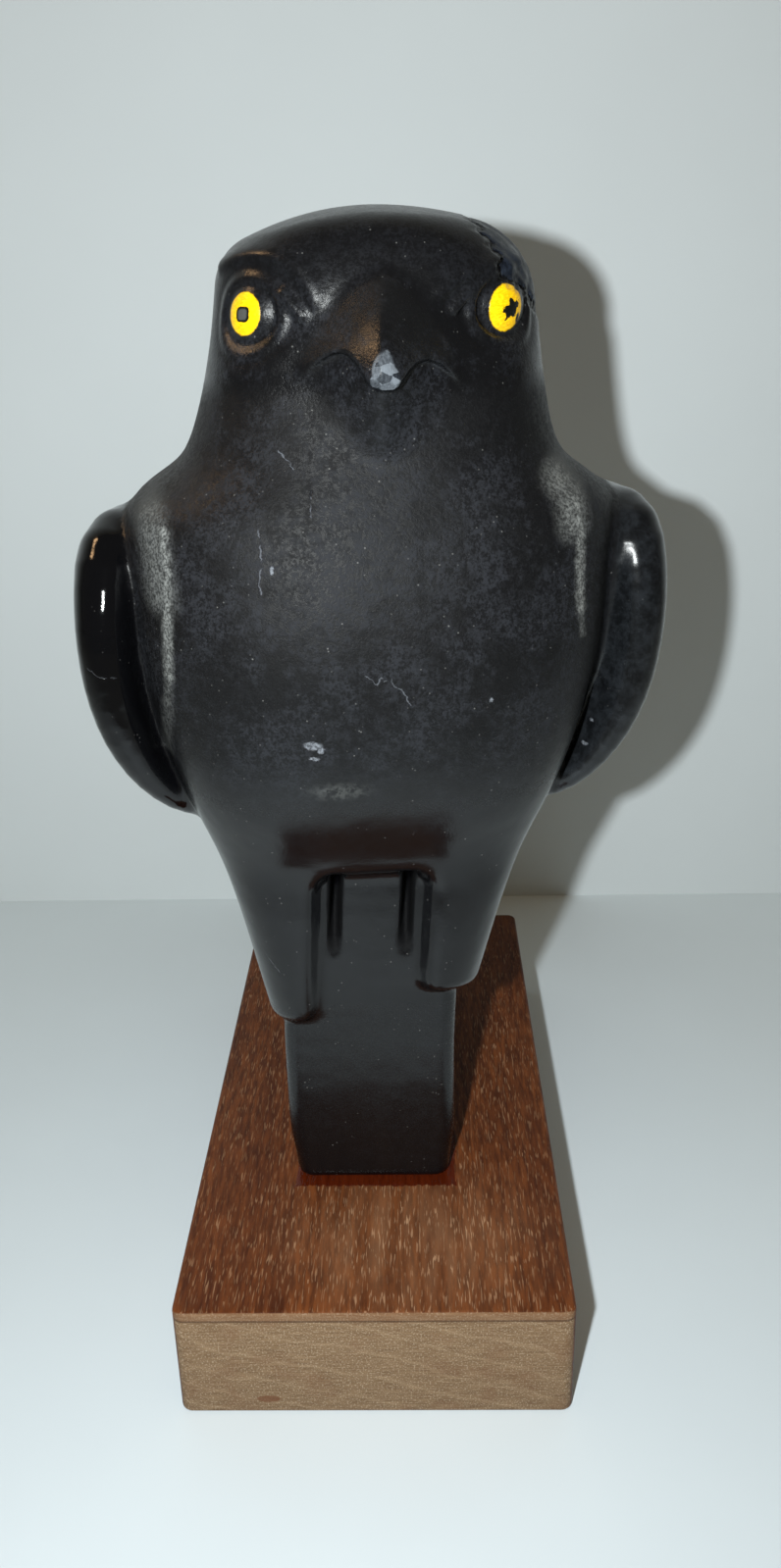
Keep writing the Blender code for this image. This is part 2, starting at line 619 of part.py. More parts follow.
def carving_box():
    """Low and high corners, in parts, of a space with room for the whole carving."""
    flank = max(station[1] for station in BODY_STATIONS) + WING_STAND_OUT
    half_width = max([flank] + [station[0] + station[3] for station in ROLL_STATIONS]) + LEFT_WING_SHIFT
    front = min([station[2] for station in BODY_STATIONS] + [station[1] for station in RIDGE_STATIONS])
    back = max([BLOCK_BACK_Y] + [station[3] for station in BODY_STATIONS])
    brow_top = EYE_CENTRE[2] + max(point[1] for point in RIGHT_BROW_POINTS + LEFT_BROW_POINTS) + BROW_RADIUS
    top = max(HEIGHT_IN_PARTS, brow_top, BEAK_TOP)
    low = (-half_width - BOX_MARGIN, front - BOX_MARGIN, -BOX_DEPTH_BELOW)
    high = (half_width + BOX_MARGIN, back + BOX_MARGIN, top + BOX_MARGIN)
    return low, high


def carved_falcon(step):
    """Points, in parts, and faces of the whole carving."""
    low, high = carving_box()
    counts = [int((high[axis] - low[axis]) / step) + 2 for axis in range(3)]
    values = close_corners(grid_field(low, counts, step))
    points, faces = net_surface(values, low, step)
    return settle(points), faces


def finish(name, colour, roughness):
    """A plain finish with one colour."""
    material = bpy.data.materials.new(name)
    material.use_nodes = True
    shader = material.node_tree.nodes["Principled BSDF"]
    shader.inputs["Base Color"].default_value = (*colour, 1.0)
    shader.inputs["Roughness"].default_value = roughness
    shader.inputs["Metallic"].default_value = 0.0
    material.diffuse_color = (*colour, 1.0)
    return material


def add_object(name, mesh, material):
    obj = bpy.data.objects.new(name, mesh)
    mesh.materials.append(material)
    bpy.context.scene.collection.objects.link(obj)
    return obj


def add_plinth():
    """A plank with eased edges, its underside at the origin."""
    shape = bmesh.new()
    bmesh.ops.create_cube(shape, size=1.0)
    bmesh.ops.scale(shape, vec=(PLINTH_WIDTH, PLINTH_LENGTH, PLINTH_THICKNESS), verts=shape.verts)
    bmesh.ops.translate(shape, vec=(0.0, 0.0, PLINTH_THICKNESS / 2.0), verts=shape.verts)
    upright = [edge for edge in shape.edges
               if abs(edge.verts[0].co.z - edge.verts[1].co.z) > PLINTH_THICKNESS / 2.0]
    bmesh.ops.bevel(shape, geom=upright, offset=PLINTH_CORNER_RADIUS, segments=4, profile=0.5,
                    affect="EDGES")
    rims = [edge for edge in shape.edges
            if abs(edge.verts[0].co.z - edge.verts[1].co.z) < PLINTH_ARRIS_RADIUS
            and edge.calc_face_angle(0.0) > 1.0]
    bmesh.ops.bevel(shape, geom=rims, offset=PLINTH_ARRIS_RADIUS, segments=3, profile=0.5, affect="EDGES")
    mesh = bpy.data.meshes.new("plinth")
    shape.to_mesh(mesh)
    shape.free()
    mesh.shade_smooth()
    mesh.set_sharp_from_angle(angle=math.radians(40.0))
    return add_object("plinth", mesh, finish("hardwood", (0.17, 0.062, 0.032), 0.5))


def add_falcon():
    """The carving, with as many faces as its curves need, set on the plinth."""
    points, faces = carved_falcon(CARVING_STEP)
    points[:, 2] = np.maximum(points[:, 2], 0.0)
    mesh = bpy.data.meshes.new("falcon")
    mesh.from_pydata((points * PART).tolist(), [], faces.tolist())
    mesh.shade_smooth()
    falcon_object = add_object("falcon", mesh, finish("black_stone", (0.012, 0.012, 0.014), 0.22))
    falcon_object.location.z = PLINTH_THICKNESS + SEAT_GAP
    thin = falcon_object.modifiers.new("fewer_faces", "DECIMATE")
    thin.ratio = FALCON_TRIANGLES / (2.0 * len(faces))
    return falcon_object


def main():
    for obj in list(bpy.data.objects):
        bpy.data.objects.remove(obj)
    add_plinth()
    add_falcon()


main()
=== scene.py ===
"""Looks of the falcon statue: the stone carving at full detail, its painted eyes, old repair and chips, and
the hardwood plinth, on a plain pale table in front of a plain pale wall.

The frame is in metres, +Z up, with the falcon looking along -Y.
"""

from itertools import product
import math

import bmesh
import bpy
import numpy as np
from mathutils import Matrix, Vector


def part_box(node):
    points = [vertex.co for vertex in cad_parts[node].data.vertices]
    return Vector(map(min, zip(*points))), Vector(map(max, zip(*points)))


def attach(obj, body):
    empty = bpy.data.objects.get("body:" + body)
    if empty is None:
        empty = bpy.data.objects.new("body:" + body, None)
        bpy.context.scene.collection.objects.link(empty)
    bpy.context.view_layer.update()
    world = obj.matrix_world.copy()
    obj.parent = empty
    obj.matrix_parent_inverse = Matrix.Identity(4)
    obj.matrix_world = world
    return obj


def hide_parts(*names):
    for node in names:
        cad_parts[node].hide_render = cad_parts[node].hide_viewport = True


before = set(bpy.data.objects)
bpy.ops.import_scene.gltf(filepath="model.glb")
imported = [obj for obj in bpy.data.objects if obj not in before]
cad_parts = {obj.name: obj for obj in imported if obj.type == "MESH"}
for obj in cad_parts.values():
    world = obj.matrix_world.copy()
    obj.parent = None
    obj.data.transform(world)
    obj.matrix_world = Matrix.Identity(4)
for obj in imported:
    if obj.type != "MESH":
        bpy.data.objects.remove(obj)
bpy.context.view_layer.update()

# The carving is laid out in parts of the falcon's own height, from the foot up. A part is about 1 mm.
falcon_low, falcon_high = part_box("falcon")
HEIGHT_IN_PARTS = 283.4
PART = (falcon_high.z - falcon_low.z) / HEIGHT_IN_PARTS
FOOT_HEIGHT = falcon_low.z

# How finely the carving is followed, in parts, and how much finer the head is.
CARVING_STEP = 1.5
HEAD_FINENESS = 0.6
FINE_HEIGHTS = (200.0, 236.0)
FINE_CENTRE_Y = -75.0

# The heights and rows of the table of heights, the cells of the coarse grid, how many of these from the
# surface the fine grid is worked out, and the distance at places filled to keep the net closed.
HEIGHTS_FOLLOWED = (-20.0, 320.0, 1361)
COARSE_CELLS = 4
NEAR_CELLS = 1.6
JUST_INSIDE = -1e-3

# Corners of the even grid, with room for the whole carving in it.
GRID_LOW = (-96.0, -100.0, -4.0)
GRID_HIGH = (96.0, 86.0)
GRID_TOP_HEIGHT = 288.0

# Stance: the bird leans a little to its left, turns a little above the foot and tilts its head:
# height and shift across, height and degrees.
LEAN_STATIONS = ((0.0, -1.3), (60.0, -1.4), (120.0, 0.3), (180.0, 2.2), (230.0, 3.6), (262.0, 5.0),
                 (285.0, 5.3))
TURN_AXIS_Y = -37.0
TURN_STATIONS = ((50.0, 0.0), (125.0, 6.0), (205.0, 6.0), (240.0, 3.0))
HEAD_TILT = 0.018
HEAD_TILT_HEIGHTS = (215.0, 250.0)

# Sections of the body from the thighs up to the eyes:
# height, half width, front, back, squareness of the front.
BODY_STATIONS = (
    (40.0, 27.5, -64.5, 44.0, 3.6),
    (60.0, 32.3, -65.5, 45.5, 3.6),
    (80.0, 37.2, -66.0, 46.5, 3.5),
    (100.0, 42.6, -66.0, 46.5, 3.4),
    (112.0, 46.6, -66.3, 46.2, 3.4),
    (122.0, 50.6, -70.0, 45.6, 3.25),
    (132.0, 54.6, -75.2, 44.8, 3.0),
    (145.0, 59.0, -79.8, 43.3, 2.8),
    (160.0, 62.8, -82.2, 41.0, 2.6),
    (180.0, 65.2, -82.4, 37.0, 2.6),
    (196.0, 65.8, -79.8, 33.0, 2.6),
    (206.0, 66.3, -77.2, 29.6, 2.6),
    (211.0, 65.2, -75.7, 27.4, 2.6),
    (215.5, 60.8, -74.2, 25.0, 2.6),
    (220.5, 53.8, -72.5, 22.4, 2.6),
    (226.0, 49.6, -70.7, 20.0, 2.6),
    (232.0, 47.3, -69.0, 17.6, 2.65),
    (240.0, 45.2, -66.8, 15.0, 2.75),
    (256.0, 42.2, -64.8, 13.0, 2.9),
    (264.0, 41.2, -64.2, 12.7, 2.9),
    (272.0, 40.3, -61.4, 12.5, 2.9),
    (290.0, 38.8, -53.0, 12.0, 2.9),
)
BODY_AXIS_Y = -24.0
BODY_BACK_SQUARENESS = 2.15

# Crown: a low dome whose edge is rounded over.
CROWN_PEAK_Y = -25.0
CROWN_RIGHT_RADIUS = 72.0
CROWN_LEFT_RADIUS = 100.0
CROWN_RADIUS_ALONG = 140.0
CROWN_EDGE = 7.0
CROWN_LEFT_EDGE = 14.0
CROWN_LEFT_EDGE_SPAN = (8.0, 34.0)
CROWN_TILT = 0.03
NAPE_START_Y = -12.0
NAPE_FALL = 0.014

# Foot block, with the tail behind it.
BLOCK_HALF_WIDTH = 26.0
BLOCK_FRONT_Y = -59.0
BLOCK_BACK_Y = 51.0
BLOCK_TOP = 116.0
BLOCK_BACK_SLOPE = 0.085
BLOCK_BOTTOM_NARROWING = 1.8
BLOCK_NARROWING_HEIGHT = 22.0
BLOCK_CORNER = 5.0
BLOCK_BOTTOM_ROUND = 3.0
BLOCK_FRONT_JOIN = 1.5
BLOCK_BACK_JOIN = 7.5
BLOCK_JOIN_SPAN = (-35.0, 10.0)
TAIL_START_Y = 5.0
TAIL_NARROWING = 5.0

# Thighs: they are cut off level, the left one higher, and stand proud of the block.
RIGHT_THIGH_BOTTOM = 60.0
LEFT_THIGH_BOTTOM = 70.0
THIGH_CUT_SLOPE = -0.30
THIGH_CUT_EDGE = 3.0

# Leg recess between the thighs, with the column and the two slots beside it.
RECESS_CENTRE_X = -0.8
RECESS_HALF_WIDTH = 16.4
RECESS_TOP = 111.0
RECESS_BOTTOM = 30.0
RECESS_FLOOR_Y = -58.5
RECESS_EDGE = 5.5
RECESS_CORNER = 6.0
BAY_HALF_REACH = 30.0
SLOT_CENTRE_X = 10.4
SLOT_HALF_WIDTH = 1.5
SLOT_BOTTOM = 85.0
SLOT_DEPTH = 14.0
SLOT_EDGE = 3.0
SLOT_MOUTH_EDGE = 1.8

# Wings: a shell on the flanks, thinner towards the tip. Its outline is laid out along the flank
# and up it, and its front edge is a thick roll: side, y, height and radius along it.
WING_GIRTH_RADIUS = 58.0
WING_STAND_OUT = 15.5
WING_TIP_STAND_OUT = 4.5
WING_EDGE = 0.75
WING_LOWER_SLOPE = 0.64
WING_LOWER_TAPER = 24.0
WING_OUTLINE = ((94.0, 201.5), (84.0, 199.5), (78.0, 188.0), (76.0, 172.0), (75.0, 152.0), (75.5, 134.0),
                (81.0, 121.0), (100.0, 111.0), (126.0, 94.0), (150.0, 76.0), (174.0, 58.0), (175.0, 84.0),
                (166.0, 118.0), (153.0, 152.0), (136.0, 181.0), (115.0, 197.0))
ROLL_STATIONS = (
    (60.0, -6.0, 195.5, 6.8),
    (66.0, -21.0, 200.8, 8.2),
    (69.9, -31.8, 199.0, 9.2),
    (71.9, -38.5, 190.0, 8.8),
    (72.6, -41.5, 175.0, 8.3),
    (71.3, -42.5, 160.0, 7.6),
    (67.6, -42.5, 146.5, 6.6),
    (61.4, -41.0, 135.0, 5.4),
    (53.8, -38.0, 127.0, 4.4),
    (46.0, -32.0, 122.0, 3.2),
)
ROLL_STRETCH = 1.3
ROLL_JOIN = 4.0
WING_JOIN = 3.5
LEFT_WING_JOIN = 7.0
LEFT_WING_JOIN_SPAN = (152.0, 168.0)
WING_TAPER_GIRTHS = (75.0, 165.0)
WING_LOWER_SHARE = 0.35
LEFT_WING_SHIFT = 1.3
LEFT_WING_RAISE = 1.2
LEFT_WING_RAISE_SPAN = (150.0, 195.0)

# Eyes: the balls, their sockets and lids lie on the head's front corners. Places on the face are laid
# out along it towards the beak, up, and out from its skin.
EYE_CENTRE = (31.8, -55.6, 258.8)
EYE_TURN_DEGREES = 42.0
EYEBALL_RADIUS = 11.0
EYEBALL_SINK = 9.9
EYEBALL_JOIN = 0.6
RIGHT_SOCKET_CENTRE = (1.0, 1.3, 2.4)
RIGHT_SOCKET_RADII = (18.0, 13.2, 5.0)
LEFT_SOCKET_CENTRE = (1.5, -0.9, 2.2)
LEFT_SOCKET_RADII = (18.5, 10.8, 5.2)
SOCKET_EDGE = 1.2
LID_RADII = (10.6, 8.8)
LID_THICKNESS = 1.1
LID_SINK = 2.2
LID_JOIN = 1.8

# Brows: each is a soft ridge that arches over the socket down to the root of the beak. The left one
# lies lower.
RIGHT_BROW_POINTS = ((-13.0, 12.0, -0.8), (-7.0, 13.3, -0.9), (-1.4, 13.7, -1.0), (5.7, 13.1, -1.0),
                     (10.8, 11.5, -1.0), (13.9, 9.5, -1.0), (16.0, 6.7, -1.1), (17.4, 3.6, -1.4))
LEFT_BROW_POINTS = ((-8.0, 10.4, -1.2), (-2.0, 10.0, -1.1), (5.5, 8.4, -1.0), (9.6, 7.2, -1.0),
                    (13.6, 5.8, -1.0), (17.2, 4.4, -1.1), (20.6, 2.4, -1.4))
BROW_RADIUS = 1.5
BROW_JOIN = 2.6

# Folds: a short ridge runs from the inner corner of each eye towards the beak.
FOLD_POINTS = ((10.6, 5.2, -1.5), (12.8, 2.8, -1.2), (15.2, 0.2, -1.1))
FOLD_RADIUS = 1.1
FOLD_JOIN = 1.4

# Beak: a wedge with a sharp ridge, a little left of the middle, hooked down to a broken tip and cut
# below by the mouth line. A mouth station is a place across and its height.
RIDGE_STATIONS = ((238.0, -83.6), (244.0, -84.0), (250.0, -81.6), (256.0, -76.6), (262.0, -70.6),
                  (267.0, -64.8), (271.0, -58.8), (275.0, -51.5))
RIDGE_CENTRE_X = 0.9
CHIN_STATIONS = ((222.0, -64.0), (228.0, -69.8), (234.0, -73.6), (240.0, -76.0), (245.0, -77.0),
                 (251.0, -75.0), (257.0, -69.0), (264.0, -58.0), (270.0, -46.0))
CHEEK_ROOT_Y = -50.0
BEAK_REACH = 30.0
RIDGE_RADIUS = 1.0
TIP_RIDGE_RADIUS = 1.9
TIP_RIDGE_SPAN = (255.0, 247.0)
BEAK_HALF_WIDTH = 29.0
BEAK_TOP = 273.0
BEAK_TOP_SLOPE = 0.25
MOUTH_STATIONS = ((-32.0, 233.0), (-24.0, 241.0), (-18.0, 246.0), (-13.0, 249.4), (-9.0, 250.8),
                  (-5.8, 249.2), (-3.4, 246.0), (-1.6, 243.8), (1.4, 243.0), (4.4, 243.6), (6.4, 246.0),
                  (8.8, 248.0), (11.8, 248.4), (15.8, 246.4), (20.0, 243.0), (26.0, 238.0), (32.0, 231.0))
BEAK_EDGE = 1.4
BEAK_JOIN = 1.8
CHIN_JOIN = 5.0
BILL_BACK_Y = -45.0

# Facets of the beak's broken tip, each a place on it, from the ridge's middle, and its direction.
TIP_FACETS = (
    ((-0.9, -82.5, 245.0), (-0.22, -0.97, -0.12)),
    ((1.2, -82.1, 246.0), (0.33, -0.94, 0.02)),
    ((-1.0, -82.0, 248.6), (-0.34, -0.86, 0.38)),
    ((1.2, -81.5, 249.4), (0.28, -0.86, 0.42)),
    ((0.0, -80.6, 243.3), (0.05, -0.75, -0.66)),
)
TIP_HALF_WIDTH = 5.0
TIP_BACK_Y = -78.0
TIP_SPAN = (240.0, 254.0)

# Old filled break at the head's upper left corner. It lies beyond a slanting line across the forehead and,
# lower down, beyond an upright line over the eye; it is sunk a little, with a jagged seam around it.
PATCH_DIRECTION = (0.78, 0.62)
PATCH_PLACE = 195.4
PATCH_SIDE_X = 35.3
PATCH_BOTTOM = ((36.0, 265.4), (43.5, 262.2))
PATCH_BACK_Y = -12.0
PATCH_DEPTH = 0.35
PATCH_JAG = 0.5
PATCH_EDGE = (-0.3, 0.5)
PATCH_LUMPS = 0.12
SEAM_DEPTH = 0.55
SEAM_WIDTH = 0.5
HEAD_BOTTOM = 236.0


def spline_slopes(places, values):
    """Slopes of the natural cubic curve through the stations."""
    gaps = np.diff(places)
    rises = np.diff(values) / gaps
    before, after = gaps[:-1], gaps[1:]
    matrix = np.diag([2.0, *2.0 * (before + after), 2.0])
    matrix += np.diag([1.0, *before], 1) + np.diag([*after, 1.0], -1)
    inner = after * rises[:-1] + before * rises[1:]
    return np.linalg.solve(matrix, 3.0 * np.array([rises[0], *inner, rises[-1]]))


def curve_value(stations, column, place):
    """Value of one column at a place, on a smooth curve through the stations, level past its ends."""
    table = np.array(stations)
    places, values = table[:, 0], table[:, column]
    slopes = spline_slopes(places, values)
    place = np.clip(place, places[0], places[-1])
    left = np.clip(np.searchsorted(places, place, side="right") - 1, 0, len(places) - 2)
    gap = places[left + 1] - places[left]
    share = (place - places[left]) / gap
    rise = values[left + 1] - values[left]
    near = slopes[left] * gap - rise
    far = rise - slopes[left + 1] * gap
    return values[left] + share * rise + share * (1.0 - share) * ((1.0 - share) * near + share * far)


def join(first, second, width):
    """Union of two solids, blended over a width."""
    share = np.clip(0.5 + 0.5 * (second - first) / width, 0.0, 1.0)
    return second + (first - second) * share - width * share * (1.0 - share)


def meet(first, second, width):
    """Common part of two solids, with its edge rounded over a width."""
    return -join(-first, -second, width)


def carve(solid, cutter, width):
    """A solid with a cutter taken away, its edge rounded over a width."""
    return meet(solid, -cutter, width)


def smooth_step(value, start, end):
    """0 before start, 1 after end, with an even slope between."""
    share = np.clip((value - start) / (end - start), 0.0, 1.0)
    return share * share * (3.0 - 2.0 * share)


def fade(low, high, value, span):
    """A measure that runs from low to high as the value runs over a span."""
    return low + (high - low) * smooth_step(value, *span)


def ellipsoid(along, up, out, radii):
    """Distance to an ellipsoid, roughly, from offsets to its centre."""
    scaled = np.sqrt((along / radii[0]) ** 2 + (up / radii[1]) ** 2 + (out / radii[2]) ** 2)
    return (scaled - 1.0) * min(radii)


def rounded_box(offsets, halves, radius):
    """Distance to a box with rounded edges, from offsets to its centre."""
    outside = [np.abs(offset) - half + radius for offset, half in zip(offsets, halves)]
    beyond = np.sqrt(sum(np.maximum(side, 0.0) ** 2 for side in outside))
    return beyond + np.minimum(np.maximum.reduce(outside), 0.0) - radius


def stretches(places, run):
    """For each stretch of a run of points: the gap to it, how far along it that is, its start and its end."""
    for start, end in zip(run, run[1:]):
        step = np.subtract(end, start)[:len(places)]
        offsets = [place - first for place, first in zip(places, start)]
        share = sum(offset * part for offset, part in zip(offsets, step))
        share = np.clip(share / (step @ step), 0.0, 1.0)
        gap = np.sqrt(sum((offset - share * part) ** 2 for offset, part in zip(offsets, step)))
        yield gap, share, start, end


def tube(places, points, radius):
    """Distance to a rounded tube along a run of points."""
    return np.minimum.reduce([gap for gap, _, _, _ in stretches(places, points)]) - radius


def inside_loop(across, up, points, count=4):
    """Distance to a smooth closed outline through the points: negative inside."""
    ring = np.array(points)
    run = []
    for index in range(len(ring)):
        before, start, end, after = (ring[(index + shift) % len(ring)] for shift in (-1, 0, 1, 2))
        for share in np.arange(count) / count:
            run.append(0.5 * (2.0 * start + (end - before) * share
                              + (2.0 * before - 5.0 * start + 4.0 * end - after) * share ** 2
                              + (3.0 * start - before - 3.0 * end + after) * share ** 3))
    nearest = np.full_like(across, np.inf)
    crossings = np.zeros(across.shape, bool)
    for gap, _, start, end in stretches((across, up), run + run[:1]):
        nearest = np.minimum(nearest, gap)
        step = end - start
        if step[1] != 0.0:
            spans = (up >= start[1]) != (up >= end[1])
            crossings ^= spans & (across < start[0] + (up - start[1]) / step[1] * step[0])
    return np.where(crossings, -nearest, nearest)


def unbend(points):
    """Places in the upright bird's own layout, from places in the leaning, turned one."""
    height = points[:, 2]
    turn = np.radians(curve_value(TURN_STATIONS, 1, height))
    across = points[:, 0] - curve_value(LEAN_STATIONS, 1, height)
    along = points[:, 1] - TURN_AXIS_Y
    x = np.cos(turn) * across + np.sin(turn) * along
    y = np.cos(turn) * along - np.sin(turn) * across + TURN_AXIS_Y
    return x, y, height - HEAD_TILT * x * smooth_step(height, *HEAD_TILT_HEIGHTS)


def body(x, y, z):
    """Trunk, neck and head as one run of sections, closed above by the crown."""
    side = np.abs(x)
    width, front, back, squareness = (curve_value(BODY_STATIONS, column, z) for column in (1, 2, 3, 4))
    along = y - BODY_AXIS_Y
    power = np.where(along < 0.0, squareness, BODY_BACK_SQUARENESS)
    depth = np.where(along < 0.0, BODY_AXIS_Y - front, back - BODY_AXIS_Y)
    scaled = ((side / width) ** power + (np.abs(along) / depth) ** power + 1e-9) ** (1.0 / power)
    flank = (1.0 - 1.0 / scaled) * np.hypot(side, along)
    nape = np.maximum(y - NAPE_START_Y, 0.0)
    radius = np.where(x < 0.0, CROWN_RIGHT_RADIUS, CROWN_LEFT_RADIUS)
    crown = (HEIGHT_IN_PARTS - CROWN_TILT * x - side ** 2 / (2.0 * radius)
             - (y - CROWN_PEAK_Y) ** 2 / (2.0 * CROWN_RADIUS_ALONG) - NAPE_FALL * nape ** 2)
    return meet(flank, z - crown, fade(CROWN_EDGE, CROWN_LEFT_EDGE, x, CROWN_LEFT_EDGE_SPAN))


def thigh_cut(x, y, z):
    """The space below the level ends of the thighs."""
    bottom = np.where(x < 0.0, RIGHT_THIGH_BOTTOM, LEFT_THIGH_BOTTOM)
    return z - bottom - THIGH_CUT_SLOPE * (y - BLOCK_FRONT_Y)


def foot_block(x, y, z):
    """The block that the bird stands on, narrowing behind into the tail."""
    narrowing = BLOCK_BOTTOM_NARROWING * (1.0 - smooth_step(z, 0.0, BLOCK_NARROWING_HEIGHT))
    narrowing = narrowing + TAIL_NARROWING * smooth_step(y, TAIL_START_Y, BLOCK_BACK_Y)
    middle_y = 0.5 * (BLOCK_FRONT_Y + BLOCK_BACK_Y)
    half_depth = 0.5 * (BLOCK_BACK_Y - BLOCK_FRONT_Y)
    wall = rounded_box((x, y - middle_y), (BLOCK_HALF_WIDTH - narrowing, half_depth), BLOCK_CORNER)
    wall = meet(wall, y - BLOCK_BACK_Y + BLOCK_BACK_SLOPE * z, BLOCK_CORNER)
    wall = meet(wall, -z, BLOCK_BOTTOM_ROUND)
    return np.maximum(wall, z - BLOCK_TOP)


def recess(side, y, z):
    """The space between the thighs: a shallow bay with a tapering slot at each side of the column."""
    offsets = (side, y - RECESS_FLOOR_Y + BAY_HALF_REACH, z - 0.5 * (RECESS_TOP + RECESS_BOTTOM))
    halves = (RECESS_HALF_WIDTH, BAY_HALF_REACH, 0.5 * (RECESS_TOP - RECESS_BOTTOM))
    bay = rounded_box(offsets, halves, RECESS_CORNER)
    reach = SLOT_DEPTH * np.clip((z - SLOT_BOTTOM) / (RECESS_TOP - SLOT_BOTTOM), -1.0, 1.0)
    slot = meet(np.abs(side - SLOT_CENTRE_X) - SLOT_HALF_WIDTH, y - RECESS_FLOOR_Y - reach, SLOT_EDGE)
    slot = np.maximum(slot, z - RECESS_TOP)
    return bay, slot


def roll(side, y, z):
    """The thick front edge of a wing: a rounded run that is deeper than it is wide."""
    table = np.array(ROLL_STATIONS)
    lengths = np.concatenate(([0.0], np.cumsum(np.linalg.norm(np.diff(table[:, :3], axis=0), axis=1))))
    stations = np.column_stack((lengths, table))
    places = np.linspace(0.0, lengths[-1], 25)
    run = np.column_stack([curve_value(stations, column, places) for column in (1, 2, 3, 4)])
    run[:, 1] /= ROLL_STRETCH
    return np.minimum.reduce([gap - start[3] - share * (end[3] - start[3]) for gap, share, start, end
                              in stretches((side, y / ROLL_STRETCH, z), run)])


def wing(x, y, z, flank):
    """A folded wing: a shell over the flank, thick along its front edge and thin at the tip.
    The left wing stands out and up a little more than the right one."""
    shift = np.where(x > 0.0, LEFT_WING_SHIFT, 0.0)
    side = np.abs(x) - shift
    flank = flank - shift
    z = z - np.where(x > 0.0, LEFT_WING_RAISE, 0.0) * smooth_step(z, *LEFT_WING_RAISE_SPAN)
    girth = WING_GIRTH_RADIUS * np.arctan2(side, BODY_AXIS_Y - y)
    outline = inside_loop(girth, z, WING_OUTLINE)
    above = z - WING_OUTLINE[6][1] + WING_LOWER_SLOPE * (girth - WING_OUTLINE[6][0])
    thickness = fade(WING_STAND_OUT, WING_TIP_STAND_OUT, girth, WING_TAPER_GIRTHS)
    thickness *= fade(WING_LOWER_SHARE, 1.0, above, (0.0, WING_LOWER_TAPER))
    return join(meet(flank - thickness, outline, WING_EDGE * thickness), roll(side, y, z), ROLL_JOIN)


def eye_places(side, y, z):
    """Places along, up and out from the eye, with along running towards the beak."""
    turn = math.radians(EYE_TURN_DEGREES)
    across = side - EYE_CENTRE[0]
    ahead = EYE_CENTRE[1] - y
    along = -across * math.cos(turn) + ahead * math.sin(turn)
    out = across * math.sin(turn) + ahead * math.cos(turn)
    return along, z - EYE_CENTRE[2], out


def beak(x, y, z):
    """The upper bill, whose two cheeks meet in a ridge and end at the mouth line, and the chin below it."""
    side = np.abs(x - RIDGE_CENTRE_X)
    radius = fade(RIDGE_RADIUS, TIP_RIDGE_RADIUS, z, TIP_RIDGE_SPAN)
    spread = np.sqrt(side ** 2 + radius ** 2) - radius

    def cheeks(stations):
        ridge = curve_value(stations, 1, z)
        slope = (CHEEK_ROOT_Y - ridge) / BEAK_REACH
        return (ridge + slope * spread - y) / np.hypot(1.0, slope)

    mouth = curve_value(MOUTH_STATIONS, 1, x)
    inner = np.maximum(side - BEAK_HALF_WIDTH, z + BEAK_TOP_SLOPE * side - BEAK_TOP)
    inner = np.maximum(inner, y - BILL_BACK_Y)
    bill = np.maximum(meet(cheeks(RIDGE_STATIONS), mouth - z, BEAK_EDGE), inner)
    chin = np.maximum(cheeks(CHIN_STATIONS), np.maximum(inner, CHIN_STATIONS[0][0] - z))
    return bill, chin


def tip_facets(x, y, z):
    """Distance past the level breaks of the beak's tip, far inside away from it."""
    offset = x - RIDGE_CENTRE_X
    tip = np.column_stack((offset, y, z))
    cuts = [(tip - np.array(place)) @ (np.array(direction) / np.linalg.norm(direction))
            for place, direction in TIP_FACETS]
    near = (np.abs(offset) < TIP_HALF_WIDTH) & (y < TIP_BACK_Y) & (z > TIP_SPAN[0]) & (z < TIP_SPAN[1])
    return np.where(near, np.max(cuts, axis=0), -TIP_HALF_WIDTH)


def face(x, y, z, solid, skin):
    """The carving with its brows, eye sockets, folds, lids, eyeballs and beak."""
    along, up, out = eye_places(np.abs(x), y, z)
    right = x < 0.0
    on_skin = (along, up, skin)
    brows = [tube(on_skin, points, BROW_RADIUS) for points in (RIGHT_BROW_POINTS, LEFT_BROW_POINTS)]
    solid = join(solid, np.where(right, *brows), BROW_JOIN)
    sockets = [(RIGHT_SOCKET_CENTRE, RIGHT_SOCKET_RADII), (LEFT_SOCKET_CENTRE, LEFT_SOCKET_RADII)]
    sockets = [ellipsoid(along - centre[0], up - centre[1], skin - centre[2], radii)
               for centre, radii in sockets]
    solid = carve(solid, np.where(right, *sockets), SOCKET_EDGE)
    solid = join(solid, tube(on_skin, FOLD_POINTS, FOLD_RADIUS), FOLD_JOIN)
    ring = np.hypot(along / LID_RADII[0], up / LID_RADII[1]) + 1e-6
    beyond = (1.0 - 1.0 / ring) * np.hypot(along, up)
    solid = join(solid, np.hypot(beyond, skin + LID_SINK) - LID_THICKNESS, LID_JOIN)
    eyeball = np.sqrt(along ** 2 + up ** 2 + (out + EYEBALL_SINK) ** 2) - EYEBALL_RADIUS
    solid = join(solid, eyeball, EYEBALL_JOIN)
    bill, chin = beak(x, y, z)
    solid = join(join(solid, chin, CHIN_JOIN), bill, BEAK_JOIN)
    return np.maximum(solid, tip_facets(x, y, z))


